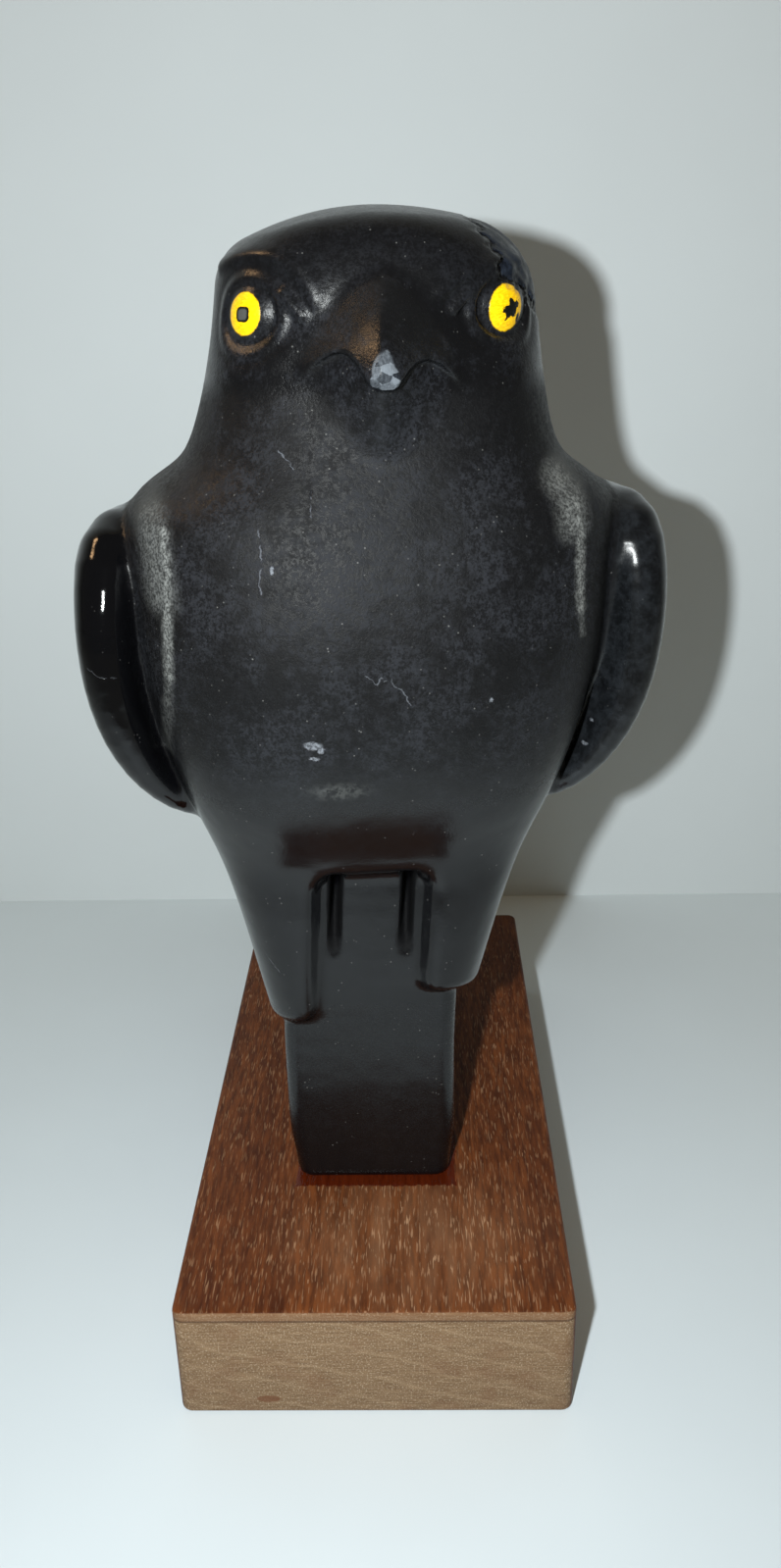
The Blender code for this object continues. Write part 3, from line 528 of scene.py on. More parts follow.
def falcon(points):
    """Signed distance, in parts, from places to the carving's surface: negative inside."""
    x, y, z = unbend(points)
    trunk = body(x, y, z)
    solid = meet(trunk, -thigh_cut(x, y, z), THIGH_CUT_EDGE)
    wing_join = np.where(x > 0.0, LEFT_WING_JOIN, WING_JOIN)
    solid = join(solid, wing(x, y, z, trunk), fade(WING_JOIN, wing_join, z, LEFT_WING_JOIN_SPAN))
    bay, slot = recess(np.abs(x - RECESS_CENTRE_X), y, z)
    solid = carve(solid, bay, RECESS_EDGE)
    solid = join(solid, foot_block(x, y, z), fade(BLOCK_FRONT_JOIN, BLOCK_BACK_JOIN, y, BLOCK_JOIN_SPAN))
    solid = carve(solid, slot, SLOT_MOUTH_EDGE)
    return face(x, y, z, solid, trunk)


def patch_place(points):
    """Distance into the filled break, negative outside it."""
    x, y, z = points.T
    jag = PATCH_JAG * (np.sin(1.3 * z + 0.5 * y) + 0.6 * np.sin(2.9 * z - 1.9 * y + 1.0))
    front = PATCH_DIRECTION[0] * x + PATCH_DIRECTION[1] * z - PATCH_PLACE
    start, end = PATCH_BOTTOM
    bottom = z - start[1] - (end[1] - start[1]) / (end[0] - start[0]) * (x - start[0])
    place = np.maximum(front, np.minimum(x - PATCH_SIDE_X, bottom)) + jag
    return np.minimum(place, PATCH_BACK_Y - y + 2.0 * jag)


def detailed(points):
    """Signed distance to the carving with its breaks and its repair."""
    solid = falcon(points)
    head = points[:, 2] > HEAD_BOTTOM
    x, y, z = points[head].T
    place = patch_place(points[head])
    lumps = PATCH_LUMPS * np.sin(0.9 * y) * np.sin(1.1 * z + 0.7 * x)
    sunk = (PATCH_DEPTH + lumps) * smooth_step(place, *PATCH_EDGE)
    solid[head] = solid[head] + (sunk + SEAM_DEPTH * np.exp(-(place / SEAM_WIDTH) ** 2))
    return solid


def fineness(height):
    """Size of the net's cells at a height, against those of the body."""
    return fade(1.0, HEAD_FINENESS, height, FINE_HEIGHTS)


HEIGHT_TABLE = np.linspace(*HEIGHTS_FOLLOWED)
GRID_HEIGHT_TABLE = HEIGHT_TABLE[0] + np.concatenate(
    ([0.0], np.cumsum(np.diff(HEIGHT_TABLE) / fineness(0.5 * (HEIGHT_TABLE[1:] + HEIGHT_TABLE[:-1])))))


def from_grid(points):
    """Places in the layout from places in the even grid, which is drawn together at the head."""
    height = np.interp(points[:, 2], GRID_HEIGHT_TABLE, HEIGHT_TABLE)
    share = fineness(height)
    along = FINE_CENTRE_Y + (points[:, 1] - FINE_CENTRE_Y) * share
    return np.column_stack((points[:, 0] * share, along, height))


def field_at(points, chunk=100000):
    """The detailed carving's distance at many places, a chunk at a time."""
    starts = range(0, len(points), chunk)
    return np.concatenate([detailed(points[start:start + chunk]) for start in starts])


def grid_field(low, counts, step):
    """The distance on the grid: worked out near the surface, and taken from a coarse grid away from it."""
    coarse_counts = [count // COARSE_CELLS + 2 for count in counts]
    axes = [low[axis] + step * COARSE_CELLS * np.arange(coarse_counts[axis]) for axis in range(3)]
    places = from_grid(np.stack(np.meshgrid(*axes, indexing="ij"), axis=-1).reshape(-1, 3))
    values = field_at(places).reshape(coarse_counts)
    for axis in range(3):
        place = np.arange(counts[axis]) / COARSE_CELLS
        left = place.astype(int)
        share = (place - left).reshape([-1 if other == axis else 1 for other in range(3)])
        values = np.take(values, left, axis) * (1.0 - share) + np.take(values, left + 1, axis) * share
    near = np.argwhere(np.abs(values) < NEAR_CELLS * COARSE_CELLS * step)
    values[tuple(near.T)] = field_at(from_grid(np.array(low) + step * near))
    return values


def close_corners(values):
    """Grid values with each place filled where solid corners touch only diagonally, so that the surface
    never meets itself."""
    whole, first, second = slice(None), slice(None, -1), slice(1, None)
    changed = True

    def fill(views, places):
        for view in views:
            view[places & (view >= 0.0)] = JUST_INSIDE
        return bool(places.any())

    while changed:
        changed = False
        for axis in range(3):
            squares = product((first, second), repeat=2)
            views = [values[square[:axis] + (whole,) + square[axis:]] for square in squares]
            inside = [view < 0.0 for view in views]
            mixed = (inside[0] == inside[3]) & (inside[1] == inside[2]) & (inside[0] != inside[1])
            changed |= fill(views, mixed)
        views = [values[corner] for corner in product((first, second), repeat=3)]
        inside = [view < 0.0 for view in views]
        count = sum(part.astype(int) for part in inside)
        for corner in range(4):
            pair = inside[corner] & inside[7 - corner] & (count == 2)
            hole = ~inside[corner] & ~inside[7 - corner] & (count == 6)
            changed |= fill(views, pair | hole)
    return values


def net_surface(values, low, step):
    """A closed net through a grid's zero surface: a point in each cell and a face on each edge it cuts."""
    inside = values < 0.0
    corners = list(product((0, 1), repeat=3))
    cells = np.array(values.shape) - 1

    def shifted(array, offset):
        return array[tuple(slice(start, start + count) for start, count in zip(offset, cells))]

    filled = sum(shifted(inside, corner).astype(int) for corner in corners)
    crossed = (filled > 0) & (filled < 8)
    cell_places = np.argwhere(crossed)
    total = np.zeros((len(cell_places), 3))
    hits = np.zeros(len(cell_places))
    for first in corners:
        for axis in range(3):
            if first[axis]:
                continue
            second = tuple(first[other] + (other == axis) for other in range(3))
            near = shifted(values, first)[crossed]
            far = shifted(values, second)[crossed]
            cut = (near < 0.0) != (far < 0.0)
            share = near[cut] / (near[cut] - far[cut])
            place = np.tile(np.array(first, float), (int(cut.sum()), 1))
            place[:, axis] = share
            total[cut] += place
            hits[cut] += 1.0
    points = np.array(low) + step * (cell_places + total / hits[:, None])
    numbers = -np.ones(values.shape, int)
    numbers[tuple(cell_places.T)] = np.arange(len(cell_places))
    faces = []
    for axis in range(3):
        one, two = (axis + 1) % 3, (axis + 2) % 3
        here = np.take(inside, range(inside.shape[axis] - 1), axis)
        there = np.take(inside, range(1, inside.shape[axis]), axis)
        edges = np.argwhere(here != there)
        quad = []
        for back_one, back_two in ((1, 1), (0, 1), (0, 0), (1, 0)):
            cell = edges.copy()
            cell[:, one] -= back_one
            cell[:, two] -= back_two
            quad.append(numbers[tuple(cell.T)])
        quad = np.stack(quad, axis=1)
        outward = here[tuple(edges.T)]
        faces.append(np.where(outward[:, None], quad, quad[:, ::-1]))
    return points, np.concatenate(faces)


def slope_at(points, value, small=0.02):
    """Gradient of the distance at places."""
    slopes = []
    for axis in range(3):
        shift = np.zeros(3)
        shift[axis] = small
        slopes.append((field_at(points + shift) - value) / small)
    return np.stack(slopes, axis=1)


def settle(points, rounds=3, reach=0.5):
    """Points moved onto the surface, and the surface's outward directions there."""
    for turn in range(rounds + 1):
        value = field_at(points)
        slope = slope_at(points, value)
        if turn == rounds:
            return points, slope / np.maximum(np.linalg.norm(slope, axis=1), 1e-6)[:, None]
        move = -value[:, None] * slope / np.maximum((slope ** 2).sum(axis=1), 0.2)[:, None]
        length = np.linalg.norm(move, axis=1)
        points = points + move * np.minimum(1.0, reach / np.maximum(length, 1e-9))[:, None]


def carved_falcon(step):
    """Points, outward directions and faces of the whole carving."""
    high = (*GRID_HIGH, np.interp(GRID_TOP_HEIGHT, HEIGHT_TABLE, GRID_HEIGHT_TABLE))
    counts = [int((high[axis] - GRID_LOW[axis]) / step) + 2 for axis in range(3)]
    values = close_corners(grid_field(GRID_LOW, counts, step))
    points, faces = net_surface(values, GRID_LOW, step)
    points, outward = settle(from_grid(points))
    return points, outward, faces


# Where the finish changes, in parts: heights, places along, depths into the wing and out of the slots.
HAZE_HEIGHTS = (128.0, 160.0)
HAZE_FRONT = (20.0, 45.0)
HAZE_HEAD = (252.0, 270.0)
HAZE_BASE = 0.15
HAZE_WING_DEPTHS = (-2.5, 1.0)
DULL_HEIGHTS = (118.0, 175.0)
DULL_HEAD = (236.0, 248.0)
DULL_FOOT = (60.0, 80.0)
WING_DEPTHS = (-0.5, 1.5)
SLOT_EDGES = (0.2, 1.0)

# Painted eyes, in parts along and up from the eye's centre: iris and pupil of the right and of the left eye.
IRIS_RIGHT = ((-0.2, 0.85), (5.2, 4.95))
IRIS_LEFT = ((0.9, -0.1), (5.3, 5.4))
PUPIL_RIGHT = ((0.1, 0.75), (2.1, 1.75))
PUPIL_LEFT = ((0.2, -0.4), (2.1, 2.1))
PUPIL_NICK = ((-2.7, -2.6), (0.7, 1.2))

# Marks on the stone, as runs of places across and up the front, in parts, each with a width.
CRACKS = (
    (((-23.6, 211.3), (-23.0, 206.9), (-22.9, 202.4), (-23.7, 198.5), (-23.3, 196.0)), 0.12),
    (((-10.7, 219.6), (-10.8, 216.0), (-10.6, 213.6)), 0.08),
    (((-18.6, 228.3), (-16.4, 226.5), (-14.6, 224.4)), 0.10),
    (((1.2, 176.2), (2.2, 175.6), (4.6, 173.4), (5.4, 175.2), (7.1, 174.1)), 0.06),
    (((8.0, 174.6), (8.6, 172.6), (10.7, 171.8), (12.6, 167.6)), 0.06),
    (((-30.7, 83.4), (-26.9, 79.1)), 0.04),
    (((-73.3, 171.4), (-69.6, 169.5), (-65.8, 169.3)), 0.04),
)
DARK_CRACK = ((-10.1, 236.0), (-10.5, 226.4), (-11.2, 223.0), (-10.8, 219.0))

# Pale speckled strips down the flanks' front corners, partly wear and partly a painted sheen, as places
# across and up, each with its half width and strength, and then the smudge and the chips on the belly,
# each with its two radii.
WORN_AND_SHEEN_STRIPS = (
    (((-53.0, 212.0), (-51.5, 203.0), (-50.5, 193.0)), 8.0, 0.55),
    (((-48.6, 209.0), (-48.0, 201.0), (-48.6, 190.0), (-49.9, 172.0)), 2.6, 0.95),
    (((-49.9, 172.0), (-51.5, 163.0)), 2.4, 0.4),
    (((-51.5, 163.0), (-53.8, 154.0), (-54.5, 147.0)), 3.4, 0.3),
    (((50.5, 219.5), (53.5, 215.0), (54.7, 208.0)), 6.5, 0.75),
    (((55.2, 213.0), (56.4, 205.0), (56.6, 192.0), (57.2, 186.0)), 2.2, 1.0),
    (((57.2, 186.0), (58.0, 179.0)), 1.6, 0.5),
)
SMUDGE = ((-6.0, 143.8), (6.0, 2.0))
CHIPS = (
    ((-12.2, 157.6), (2.3, 1.0)),
    ((-10.2, 156.4), (0.9, 1.1)),
    ((-12.0, 153.8), (1.2, 0.5)),
    ((-20.5, 201.7), (0.7, 0.9)),
    ((33.2, 167.1), (0.6, 0.6)),
    ((62.6, 140.5), (0.8, 0.5)),
    ((64.6, 147.2), (0.4, 0.4)),
)

# Plain colour and gloss of stone and wood, and heights of their relief in metres.
STONE_COLOUR = (0.02, 0.02, 0.024, 1.0)
WOOD_COLOUR = (0.17, 0.062, 0.032, 1.0)
STONE_IOR = 1.46
WOOD_IOR = 1.33
WAVE_DEPTH = 0.0003
GRAIN_DEPTH = 0.00004
PAINT_DEPTH = 0.00012
PORE_DEPTH = 0.00012

# On the plinth, in millimetres: the glue margin around the foot, the dusty patch in front of it, the line
# of the lip below the front edge and the knot in the end grain.
GLUE_CENTRE_X = -0.5
GLUE_HALF_WIDTH = 25.5
GLUE_FRONT_Y = -62.0
GLUE_BACK_Y = 52.0
DUSTY = ((12.0, -86.0), (30.0, 22.0))
LIP_HEIGHT = 35.0
KNOT = ((-31.0, 5.4), (3.4, 1.3))

# Rounding of the plinth's upright edges and of its rims, in metres, and the angle kept sharp.
PLINTH_CORNER = 0.0034
PLINTH_RIM = 0.0012
SHARP_DEGREES = 40.0
MILLIMETRES = 1000.0

# The photograph's size, and the camera with its turns: to the side, down from the level, and about its
# own line of sight.
PIXELS_ACROSS = 796
PIXELS_UP = 1599
FOCAL_PIXELS = 1269.2
CAMERA_PLACE = (0.0138, -0.376, 0.3093)
CAMERA_TURNS = ((1.278, "Z"), (90.0 - 22.944, "X"), (-1.215, "Z"))
SENSOR_WIDTH = 36.0

# Lights: name, place, target, width, power, colour, and whether it only shows as a reflection.
LIGHTS = (
    ("flash", (-0.0365, -0.390, 0.321), (0.0, 0.2, 0.221), 0.012, 3.05, (0.88, 0.945, 1.0), False),
    ("glint", (-0.052, -0.38, 0.358), (0.0, 0.2, 0.221), 0.055, 0.75, (0.95, 1.0, 1.0), True),
    ("warm", (-0.78, 0.06, 1.0), (0.0, -0.05, 0.25), 0.22, 1.35, (1.0, 0.62, 0.32), True),
    ("overhead", (0.1, -0.5, 1.5), (0.0, 0.0, 0.1), 1.2, 1.9, (1.0, 0.70, 0.38), False),
)
ROOM_COLOUR = (1.0, 0.93, 0.82, 1.0)
ROOM_STRENGTH = 0.07

# The pale table and wall, with the colour and roughness of each.
STAGE_REACH = 3.0
WALL_Y = 0.2022
WALL_HEIGHT = 2.0
FLOOR_FINISH = ((221, 229, 230), 0.5)
WALL_FINISH = ((214, 219, 217), 0.9)


def linear(*colour):
    """A colour for the shaders from the three values of a picture, 0 to 255."""
    return tuple((value / 255.0 / 12.92) if value < 10.3 else ((value / 255.0 + 0.055) / 1.055) ** 2.4
                 for value in colour) + (1.0,)


class Value:
    """One output among a material's nodes, to write sums with: a number, or a place or colour."""

    def __init__(self, nodes, socket):
        self.nodes = nodes
        self.socket = socket
        self.wide = socket.type in ("VECTOR", "RGBA")

    def reckon(self, operation, *values):
        """The outcome of an operation on this value and others."""
        kind = "ShaderNodeVectorMath" if self.wide else "ShaderNodeMath"
        output = 1 if operation in ("LENGTH", "DOT_PRODUCT") else 0
        return self.nodes.put(kind, dict(enumerate(values)), output, operation=operation)

    def __add__(self, other):
        return self.reckon("ADD", self, other)

    def __sub__(self, other):
        return self.reckon("SUBTRACT", self, other)

    def __rsub__(self, other):
        return self.reckon("SUBTRACT", other, self)

    def __truediv__(self, other):
        return self.reckon("DIVIDE", self, other)

    def __pow__(self, power):
        return self.reckon("POWER", self, power)

    def __mul__(self, other):
        if self.wide and not isinstance(other, tuple):
            return self.nodes.scaled(self, other)
        return self.reckon("MULTIPLY", self, other)

    def __abs__(self):
        return self.reckon("ABSOLUTE", self)

    def length(self):
        return self.reckon("LENGTH", self)

    def sine(self):
        return self.reckon("SINE", self)

    def separate(self):
        """The three parts of a place."""
        sockets = self.nodes.put("ShaderNodeSeparateXYZ", {0: self}).socket.node.outputs
        return [Value(self.nodes, socket) for socket in sockets]

    def noise(self, size, detail=2.0, roughness=0.5, output="Fac"):
        """Noise over places, whose lumps are about that many units wide."""
        inputs = {"Vector": self, "Scale": 1.0 / size, "Detail": detail, "Roughness": roughness}
        return self.nodes.put("ShaderNodeTexNoise", inputs, output)

    def cells(self, size, output):
        """Cells over places, about that many units wide."""
        inputs = {"Vector": self, "Scale": 1.0 / size}
        return self.nodes.put("ShaderNodeTexVoronoi", inputs, output, feature="F1")

    def slope(self, start, end, low=0.0, high=1.0):
        """The number mapped from a span to 0 and 1, or to low and high, and held past its ends."""
        inputs = {"Value": self, "From Min": start, "From Max": end, "To Min": low, "To Max": high}
        return self.nodes.put("ShaderNodeMapRange", inputs, "Result", interpolation_type="SMOOTHSTEP")

    def fall(self, start, end):
        """1 before a span, 0 after it."""
        return self.slope(start, end, 1.0, 0.0)

    def mix(self, first, second):
        """A mix of two colours by this share."""
        return self.nodes.put("ShaderNodeMix", {0: self, 6: first, 7: second}, 2, data_type="RGBA")

    def blend(self, first, second):
        """A mix of two numbers by this share."""
        return self.nodes.put("ShaderNodeMix", {0: self, 2: first, 3: second}, data_type="FLOAT")

    def shades(self, start, end, first, second):
        """A colour between two, as the number runs over a span."""
        return self.slope(start, end).mix(linear(*first), linear(*second))

    def tint(self, share, target, strength=None):
        """The colour moved towards another by a share, or by that share of a strength."""
        return (share if strength is None else share * strength).mix(self, linear(*target))

    def bump(self, depth, under=None):
        """Relief whose height runs from 0 to 1 over a depth in metres, on top of another."""
        inputs = {"Height": self, "Distance": depth, "Strength": 1.0}
        if under is not None:
            inputs["Normal"] = under
        return self.nodes.put("ShaderNodeBump", inputs)

    def stroke(self, points, width, soft):
        """1 on a thin line through the points, 0 off it."""
        nearest = None
        for start, end in zip(points, points[1:]):
            run = (end[0] - start[0], end[1] - start[1], 0.0)
            offset = self - (*start, 0.0)
            share = self.reckon("DOT_PRODUCT", offset, run) / (run[0] ** 2 + run[1] ** 2)
            share = self.nodes.put("ShaderNodeClamp", {"Value": share})
            gap = (offset - self.nodes.scaled(run, share)).length()
            nearest = gap if nearest is None else gap.reckon("MINIMUM", nearest, gap)
        return nearest.fall(width, width + soft)

    def blob(self, centre, radii, soft=0.3):
        """1 inside an oval, 0 outside it."""
        scaled = (self - (*centre, 0.0)) / (*radii, 1.0)
        return scaled.length().fall(1.0 - soft, 1.0 + soft)


def most(values):
    """The largest of some numbers."""
    total = values[0]
    for value in values[1:]:
        total = total.reckon("MAXIMUM", total, value)
    return total


class Nodes:
    """One material's nodes."""

    def __init__(self, name):
        self.material = bpy.data.materials.new(name)
        self.material.use_nodes = True
        self.tree = self.material.node_tree
        self.shader = self.tree.nodes["Principled BSDF"]

    def feed(self, socket, value):
        """Link a value to a socket, or set a plain number, place or colour on it."""
        if isinstance(value, Value):
            self.tree.links.new(value.socket, socket)
        else:
            socket.default_value = value

    def put(self, kind, inputs=None, output=0, **settings):
        """One output of a new node."""
        node = self.tree.nodes.new(kind)
        for key, value in settings.items():
            setattr(node, key, value)
        for key, value in (inputs or {}).items():
            self.feed(node.inputs[key], value)
        return Value(self, node.outputs[output])

    def place(self):
        """Places on the piece, in metres."""
        return self.put("ShaderNodeTexCoord", output="Object")

    def attribute(self, name, output="Fac"):
        return self.put("ShaderNodeAttribute", output=output, attribute_name=name)

    def scaled(self, place, share):
        return self.put("ShaderNodeVectorMath", {0: place, "Scale": share}, operation="SCALE")

    def join(self, x, y):
        """A flat place from its two parts."""
        return self.put("ShaderNodeCombineXYZ", {0: x, 1: y})

    def finish(self, colour, roughness, relief, ior, plain_colour):
        """The material, with its shader fed."""
        inputs = {"Base Color": colour, "Roughness": roughness, "Normal": relief, "IOR": ior}
        for name, value in inputs.items():
            self.feed(self.shader.inputs[name], value)
        self.material.diffuse_color = plain_colour
        return self.material


def stone_material():
    """Polished black stone, hazed with grey on the breast, with its cracks, chips, filled break and
    painted eyes, a painted sheen on the flanks' corners and the left wing, and painted shade in the slots
    and on the broken tip's facets."""
    nodes = Nodes("carved_stone")
    place = (nodes.place() - (0.0, 0.0, FOOT_HEIGHT)) * (1.0 / PART)
    across, along, up = place.separate()
    wing_share = nodes.attribute("wing_share")
    haze_share = nodes.attribute("haze_share")

    # Grey haze: broad clouds broken up by a fine grain.
    clouds = place.noise(24.0, 3.0, 0.55)
    patches = place.noise(4.6, 5.0, 0.78)
    grain = place.noise(0.7, 2.0, 0.6)
    coarse_grain = place.noise(2.0, 3.0, 0.7)
    haze = (clouds * 0.5 + patches * 0.5).slope(0.42, 0.58) * haze_share
    speckle = (grain * 0.5 + coarse_grain * 0.5).slope(0.38, 0.62)
    worn = haze * speckle.slope(0.0, 1.0, 0.1, 1.0)
    to_left = across.slope(-1.0, 1.0)
    # The left wing is lighter and mottled, partly wear and partly a painted sheen for its soft reflections.
    left_wing_wear_and_sheen = patches.shades(0.36, 0.66, (12, 13, 14), (28, 30, 32))
    wing_colour = to_left.mix(linear(5, 5, 6), left_wing_wear_and_sheen)
    colour = wing_share.mix(linear(11, 11, 12), wing_colour)
    colour = colour.tint(worn, (31, 32, 35))
    dust = place.cells(1.9, "Distance").fall(0.05, 0.16)
    dust = dust * place.noise(4.0).slope(0.52, 0.66) * wing_share.slope(0.0, 1.0, 1.0, 0.3)
    colour = colour.tint(dust, (140, 138, 132), 0.35)

    dull = nodes.attribute("dull_share")
    roughness = dull.blend(0.17, speckle.slope(0.0, 1.0, 0.48, 0.68))
    roughness = wing_share.blend(roughness, to_left.blend(0.09, 0.2))
    waves = place.noise(10.0, 1.0).bump(WAVE_DEPTH)
    upper_beak = along.slope(-77.0, -70.0) * along.slope(-64.5, -66.5)
    upper_beak = upper_beak * up.slope(247.0, 250.0)
    roughness = upper_beak.blend(roughness, patches.slope(0.35, 0.65, 0.5, 0.72))
    relief = (speckle * haze_share.blend(0.15, 1.0)).bump(GRAIN_DEPTH, waves)

    # Cracks, small white chips, and strips on the front that are partly wear and partly painted sheen.
    shift = (place.noise(1.6, 2.0, 0.6, "Color") - (0.5, 0.5, 0.5)) * 1.6
    side, _, height = (place + shift).separate()
    flat = nodes.join(side, height)
    front = along.slope(-30.0, -34.0)
    broken = place.noise(1.8, 2.0).slope(0.34, 0.54)
    lines = most([flat.stroke(points, width, 0.2) for points, width in CRACKS])
    lines = lines * broken * front * wing_share.slope(0.0, 1.0, 1.0, 0.35)
    colour = colour.tint(lines, (96, 98, 102), 0.55)
    dark_line = flat.stroke(DARK_CRACK, 0.35, 0.7) * front
    colour = colour.tint(dark_line, (4, 4, 6), 0.85)
    flakes = most([flat.blob(*chip) for chip in CHIPS]) * front
    flake_colour = grain.shades(0.35, 0.6, (66, 68, 71), (116, 119, 123))
    colour = (flakes * 0.85).mix(colour, flake_colour)
    smudge = flat.blob(*SMUDGE, 0.9) * coarse_grain.slope(0.35, 0.65)
    # The strips are partly wear and partly a painted sheen on the flanks' front corners.
    wear_and_sheen = most([flat.stroke(points, 0.0, width) * strength for points, width, strength in WORN_AND_SHEEN_STRIPS])
    wear_and_sheen = wear_and_sheen * grain.slope(0.36, 0.62, 0.3, 1.0)
    wear_and_sheen = wear_and_sheen * coarse_grain.slope(0.3, 0.6, 0.4, 1.0)
    colour = colour.tint(most([wear_and_sheen, smudge * 0.2]) * front, (128, 129, 124))
    marks = most([lines, flakes])
    roughness = marks.blend(roughness, 0.7)

    # The beak's broken tip shows paler, freshly split stone, in cells of lighter and darker tone that are the
    # painted shade of small facets.
    split = nodes.attribute("tip_depth").slope(-0.4, -0.12)
    chunk = (place + shift * 0.4).cells(2.3, "Color").separate()[0]
    splinters_and_facet_shade = chunk * 0.75 + (place * (1.0, 1.0, 0.25)).noise(0.5, 2.0, 0.6) * 0.5
    colour = split.mix(colour, splinters_and_facet_shade.shades(0.3, 1.15, (27, 30, 34), (112, 117, 121)))
    roughness = split.blend(roughness, 0.38)

    # The slots beside the column are left rough, and darkened with painted shade.
    slot_shade = nodes.attribute("slot_shade_share")
    colour = colour.tint(slot_shade, (3, 3, 4))
    roughness = slot_shade.blend(roughness, 0.75)

    # The filled break: blue-black filler with a dark seam.
    into_patch = nodes.attribute("patch_place")
    filler = into_patch.slope(-0.2, 0.2)
    colour = filler.mix(colour, patches.shades(0.4, 0.65, (10, 13, 19), (34, 40, 50)))
    colour = colour.tint(abs(into_patch).fall(0.25, 0.75), (4, 4, 5))
    roughness = filler.blend(roughness, patches.slope(0.4, 0.6, 0.34, 0.55))

    # Painted eyes.
    yellow, black, grey = eye_paint(nodes, place, across)
    brush = (place * (1.2, 1.2, 3.0)).noise(1.2, 3.0, 0.6)
    colour = yellow.mix(colour, brush.shades(0.35, 0.65, (226, 168, 4), (246, 196, 14)))
    colour = colour.tint(black, (12, 14, 10))
    colour = colour.tint(grey, (70, 70, 66))
    roughness = yellow.blend(roughness, 0.33)
    raised = yellow * 0.7 + yellow * brush * 0.5
    relief = (raised - marks * 1.5).bump(PAINT_DEPTH, relief)
    return nodes.finish(colour, roughness, relief, STONE_IOR, STONE_COLOUR)


def eye_paint(nodes, place, across):
    """Shares of yellow iris, black pupil and the pupil's worn middle."""
    eye_along, eye_up, eye_out = nodes.attribute("eye_place", "Vector").separate()
    ragged = (place.noise(1.1, 2.0, 0.6, "Color") - (0.5, 0.5, 0.5)) * 0.5
    flat = nodes.join(eye_along, eye_up) + ragged
    on_ball = eye_out.slope(-6.0, -5.0)
    left = across.slope(-1.0, 1.0)
    irises = [flat.blob(*iris, 0.04) * on_ball for iris in (IRIS_RIGHT, IRIS_LEFT)]
    yellow = left.blend(*irises)

    # The right pupil is a rounded upright block, the left one a ragged star.
    block = (flat - (*PUPIL_RIGHT[0], 0.0)) / (*PUPIL_RIGHT[1], 1.0)
    block_x, block_y, _ = abs(block).separate()
    square = block_x ** 3.5 + block_y ** 3.5
    right_pupil = square.fall(0.85, 1.15)
    grey = square.fall(0.1, 0.5) * left.fall(0.4, 0.6)
    star_offset = flat - (*PUPIL_LEFT[0], 0.0)
    star_x, star_y, _ = star_offset.separate()
    angle = star_y.reckon("ARCTAN2", star_y, star_x)
    points = (angle * 5.0 + 0.8).sine()
    lobes = (angle * 2.0 + 2.6).sine()
    torn = (place.noise(1.4, 2.0, 0.6) - 0.5) * 3.2
    reach = torn + PUPIL_LEFT[1][0] + (points * 0.4 + lobes * 0.35)
    star = (star_offset.length() - reach).fall(-0.12, 0.12)
    star = most([star, flat.blob(*PUPIL_NICK, 0.2)])
    black = left.blend(right_pupil, star) * yellow
    return yellow, black, grey * black


def finish_shares(points):
    """For each point, the shares and places that the stone's finish follows."""
    x, y, z = unbend(points)
    trunk = body(x, y, z)
    wing_depth = trunk - wing(x, y, z, trunk)
    breast = smooth_step(z, *HAZE_HEIGHTS) * smooth_step(-y, *HAZE_FRONT) * fade(1.0, 0.25, z, HAZE_HEAD)
    head = smooth_step(z, *DULL_HEAD)
    dull = np.maximum(smooth_step(z, *DULL_HEIGHTS) * (1.0 - head), 0.36 * head)
    return {
        "dull_share": np.maximum(dull, fade(0.25, 0.0, z, DULL_FOOT)),
        "wing_share": smooth_step(wing_depth, *WING_DEPTHS),
        "haze_share": (HAZE_BASE + (1.0 - HAZE_BASE) * breast) * fade(1.0, 0.0, wing_depth, HAZE_WING_DEPTHS),
        # Where the slots' painted shade falls.
        "slot_shade_share": fade(1.0, 0.0, recess(np.abs(x - RECESS_CENTRE_X), y, z)[1], SLOT_EDGES),
        "tip_depth": tip_facets(x, y, z),
        "patch_place": patch_place(points),
        "eye_place": np.stack(eye_places(np.abs(x), y, z), axis=1),
    }


def add_object(name, data):
    """A new object in the scene."""
    piece = bpy.data.objects.new(name, data)
    bpy.context.scene.collection.objects.link(piece)
    return piece


def falcon_piece():
    """The whole carving, with its exact outward directions."""
    points, outward, faces = carved_falcon(CARVING_STEP)
    mesh = bpy.data.meshes.new("stone_falcon")
    places = points * PART
    places[:, 2] = np.maximum(places[:, 2], 0.0) + FOOT_HEIGHT
    mesh.from_pydata(places.tolist(), [], faces.tolist())
    mesh.shade_smooth()
    mesh.normals_split_custom_set_from_vertices(outward.tolist())
    for name, values in finish_shares(points).items():
        kind, field = ("FLOAT", "value") if values.ndim == 1 else ("FLOAT_VECTOR", "vector")
        attribute = mesh.attributes.new(name, kind, "POINT")
        attribute.data.foreach_set(field, values.astype(np.float32).ravel())
    mesh.materials.append(stone_material())
    piece = add_object("stone_falcon", mesh)
    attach(piece, "root")
    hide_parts("falcon")
    return piece


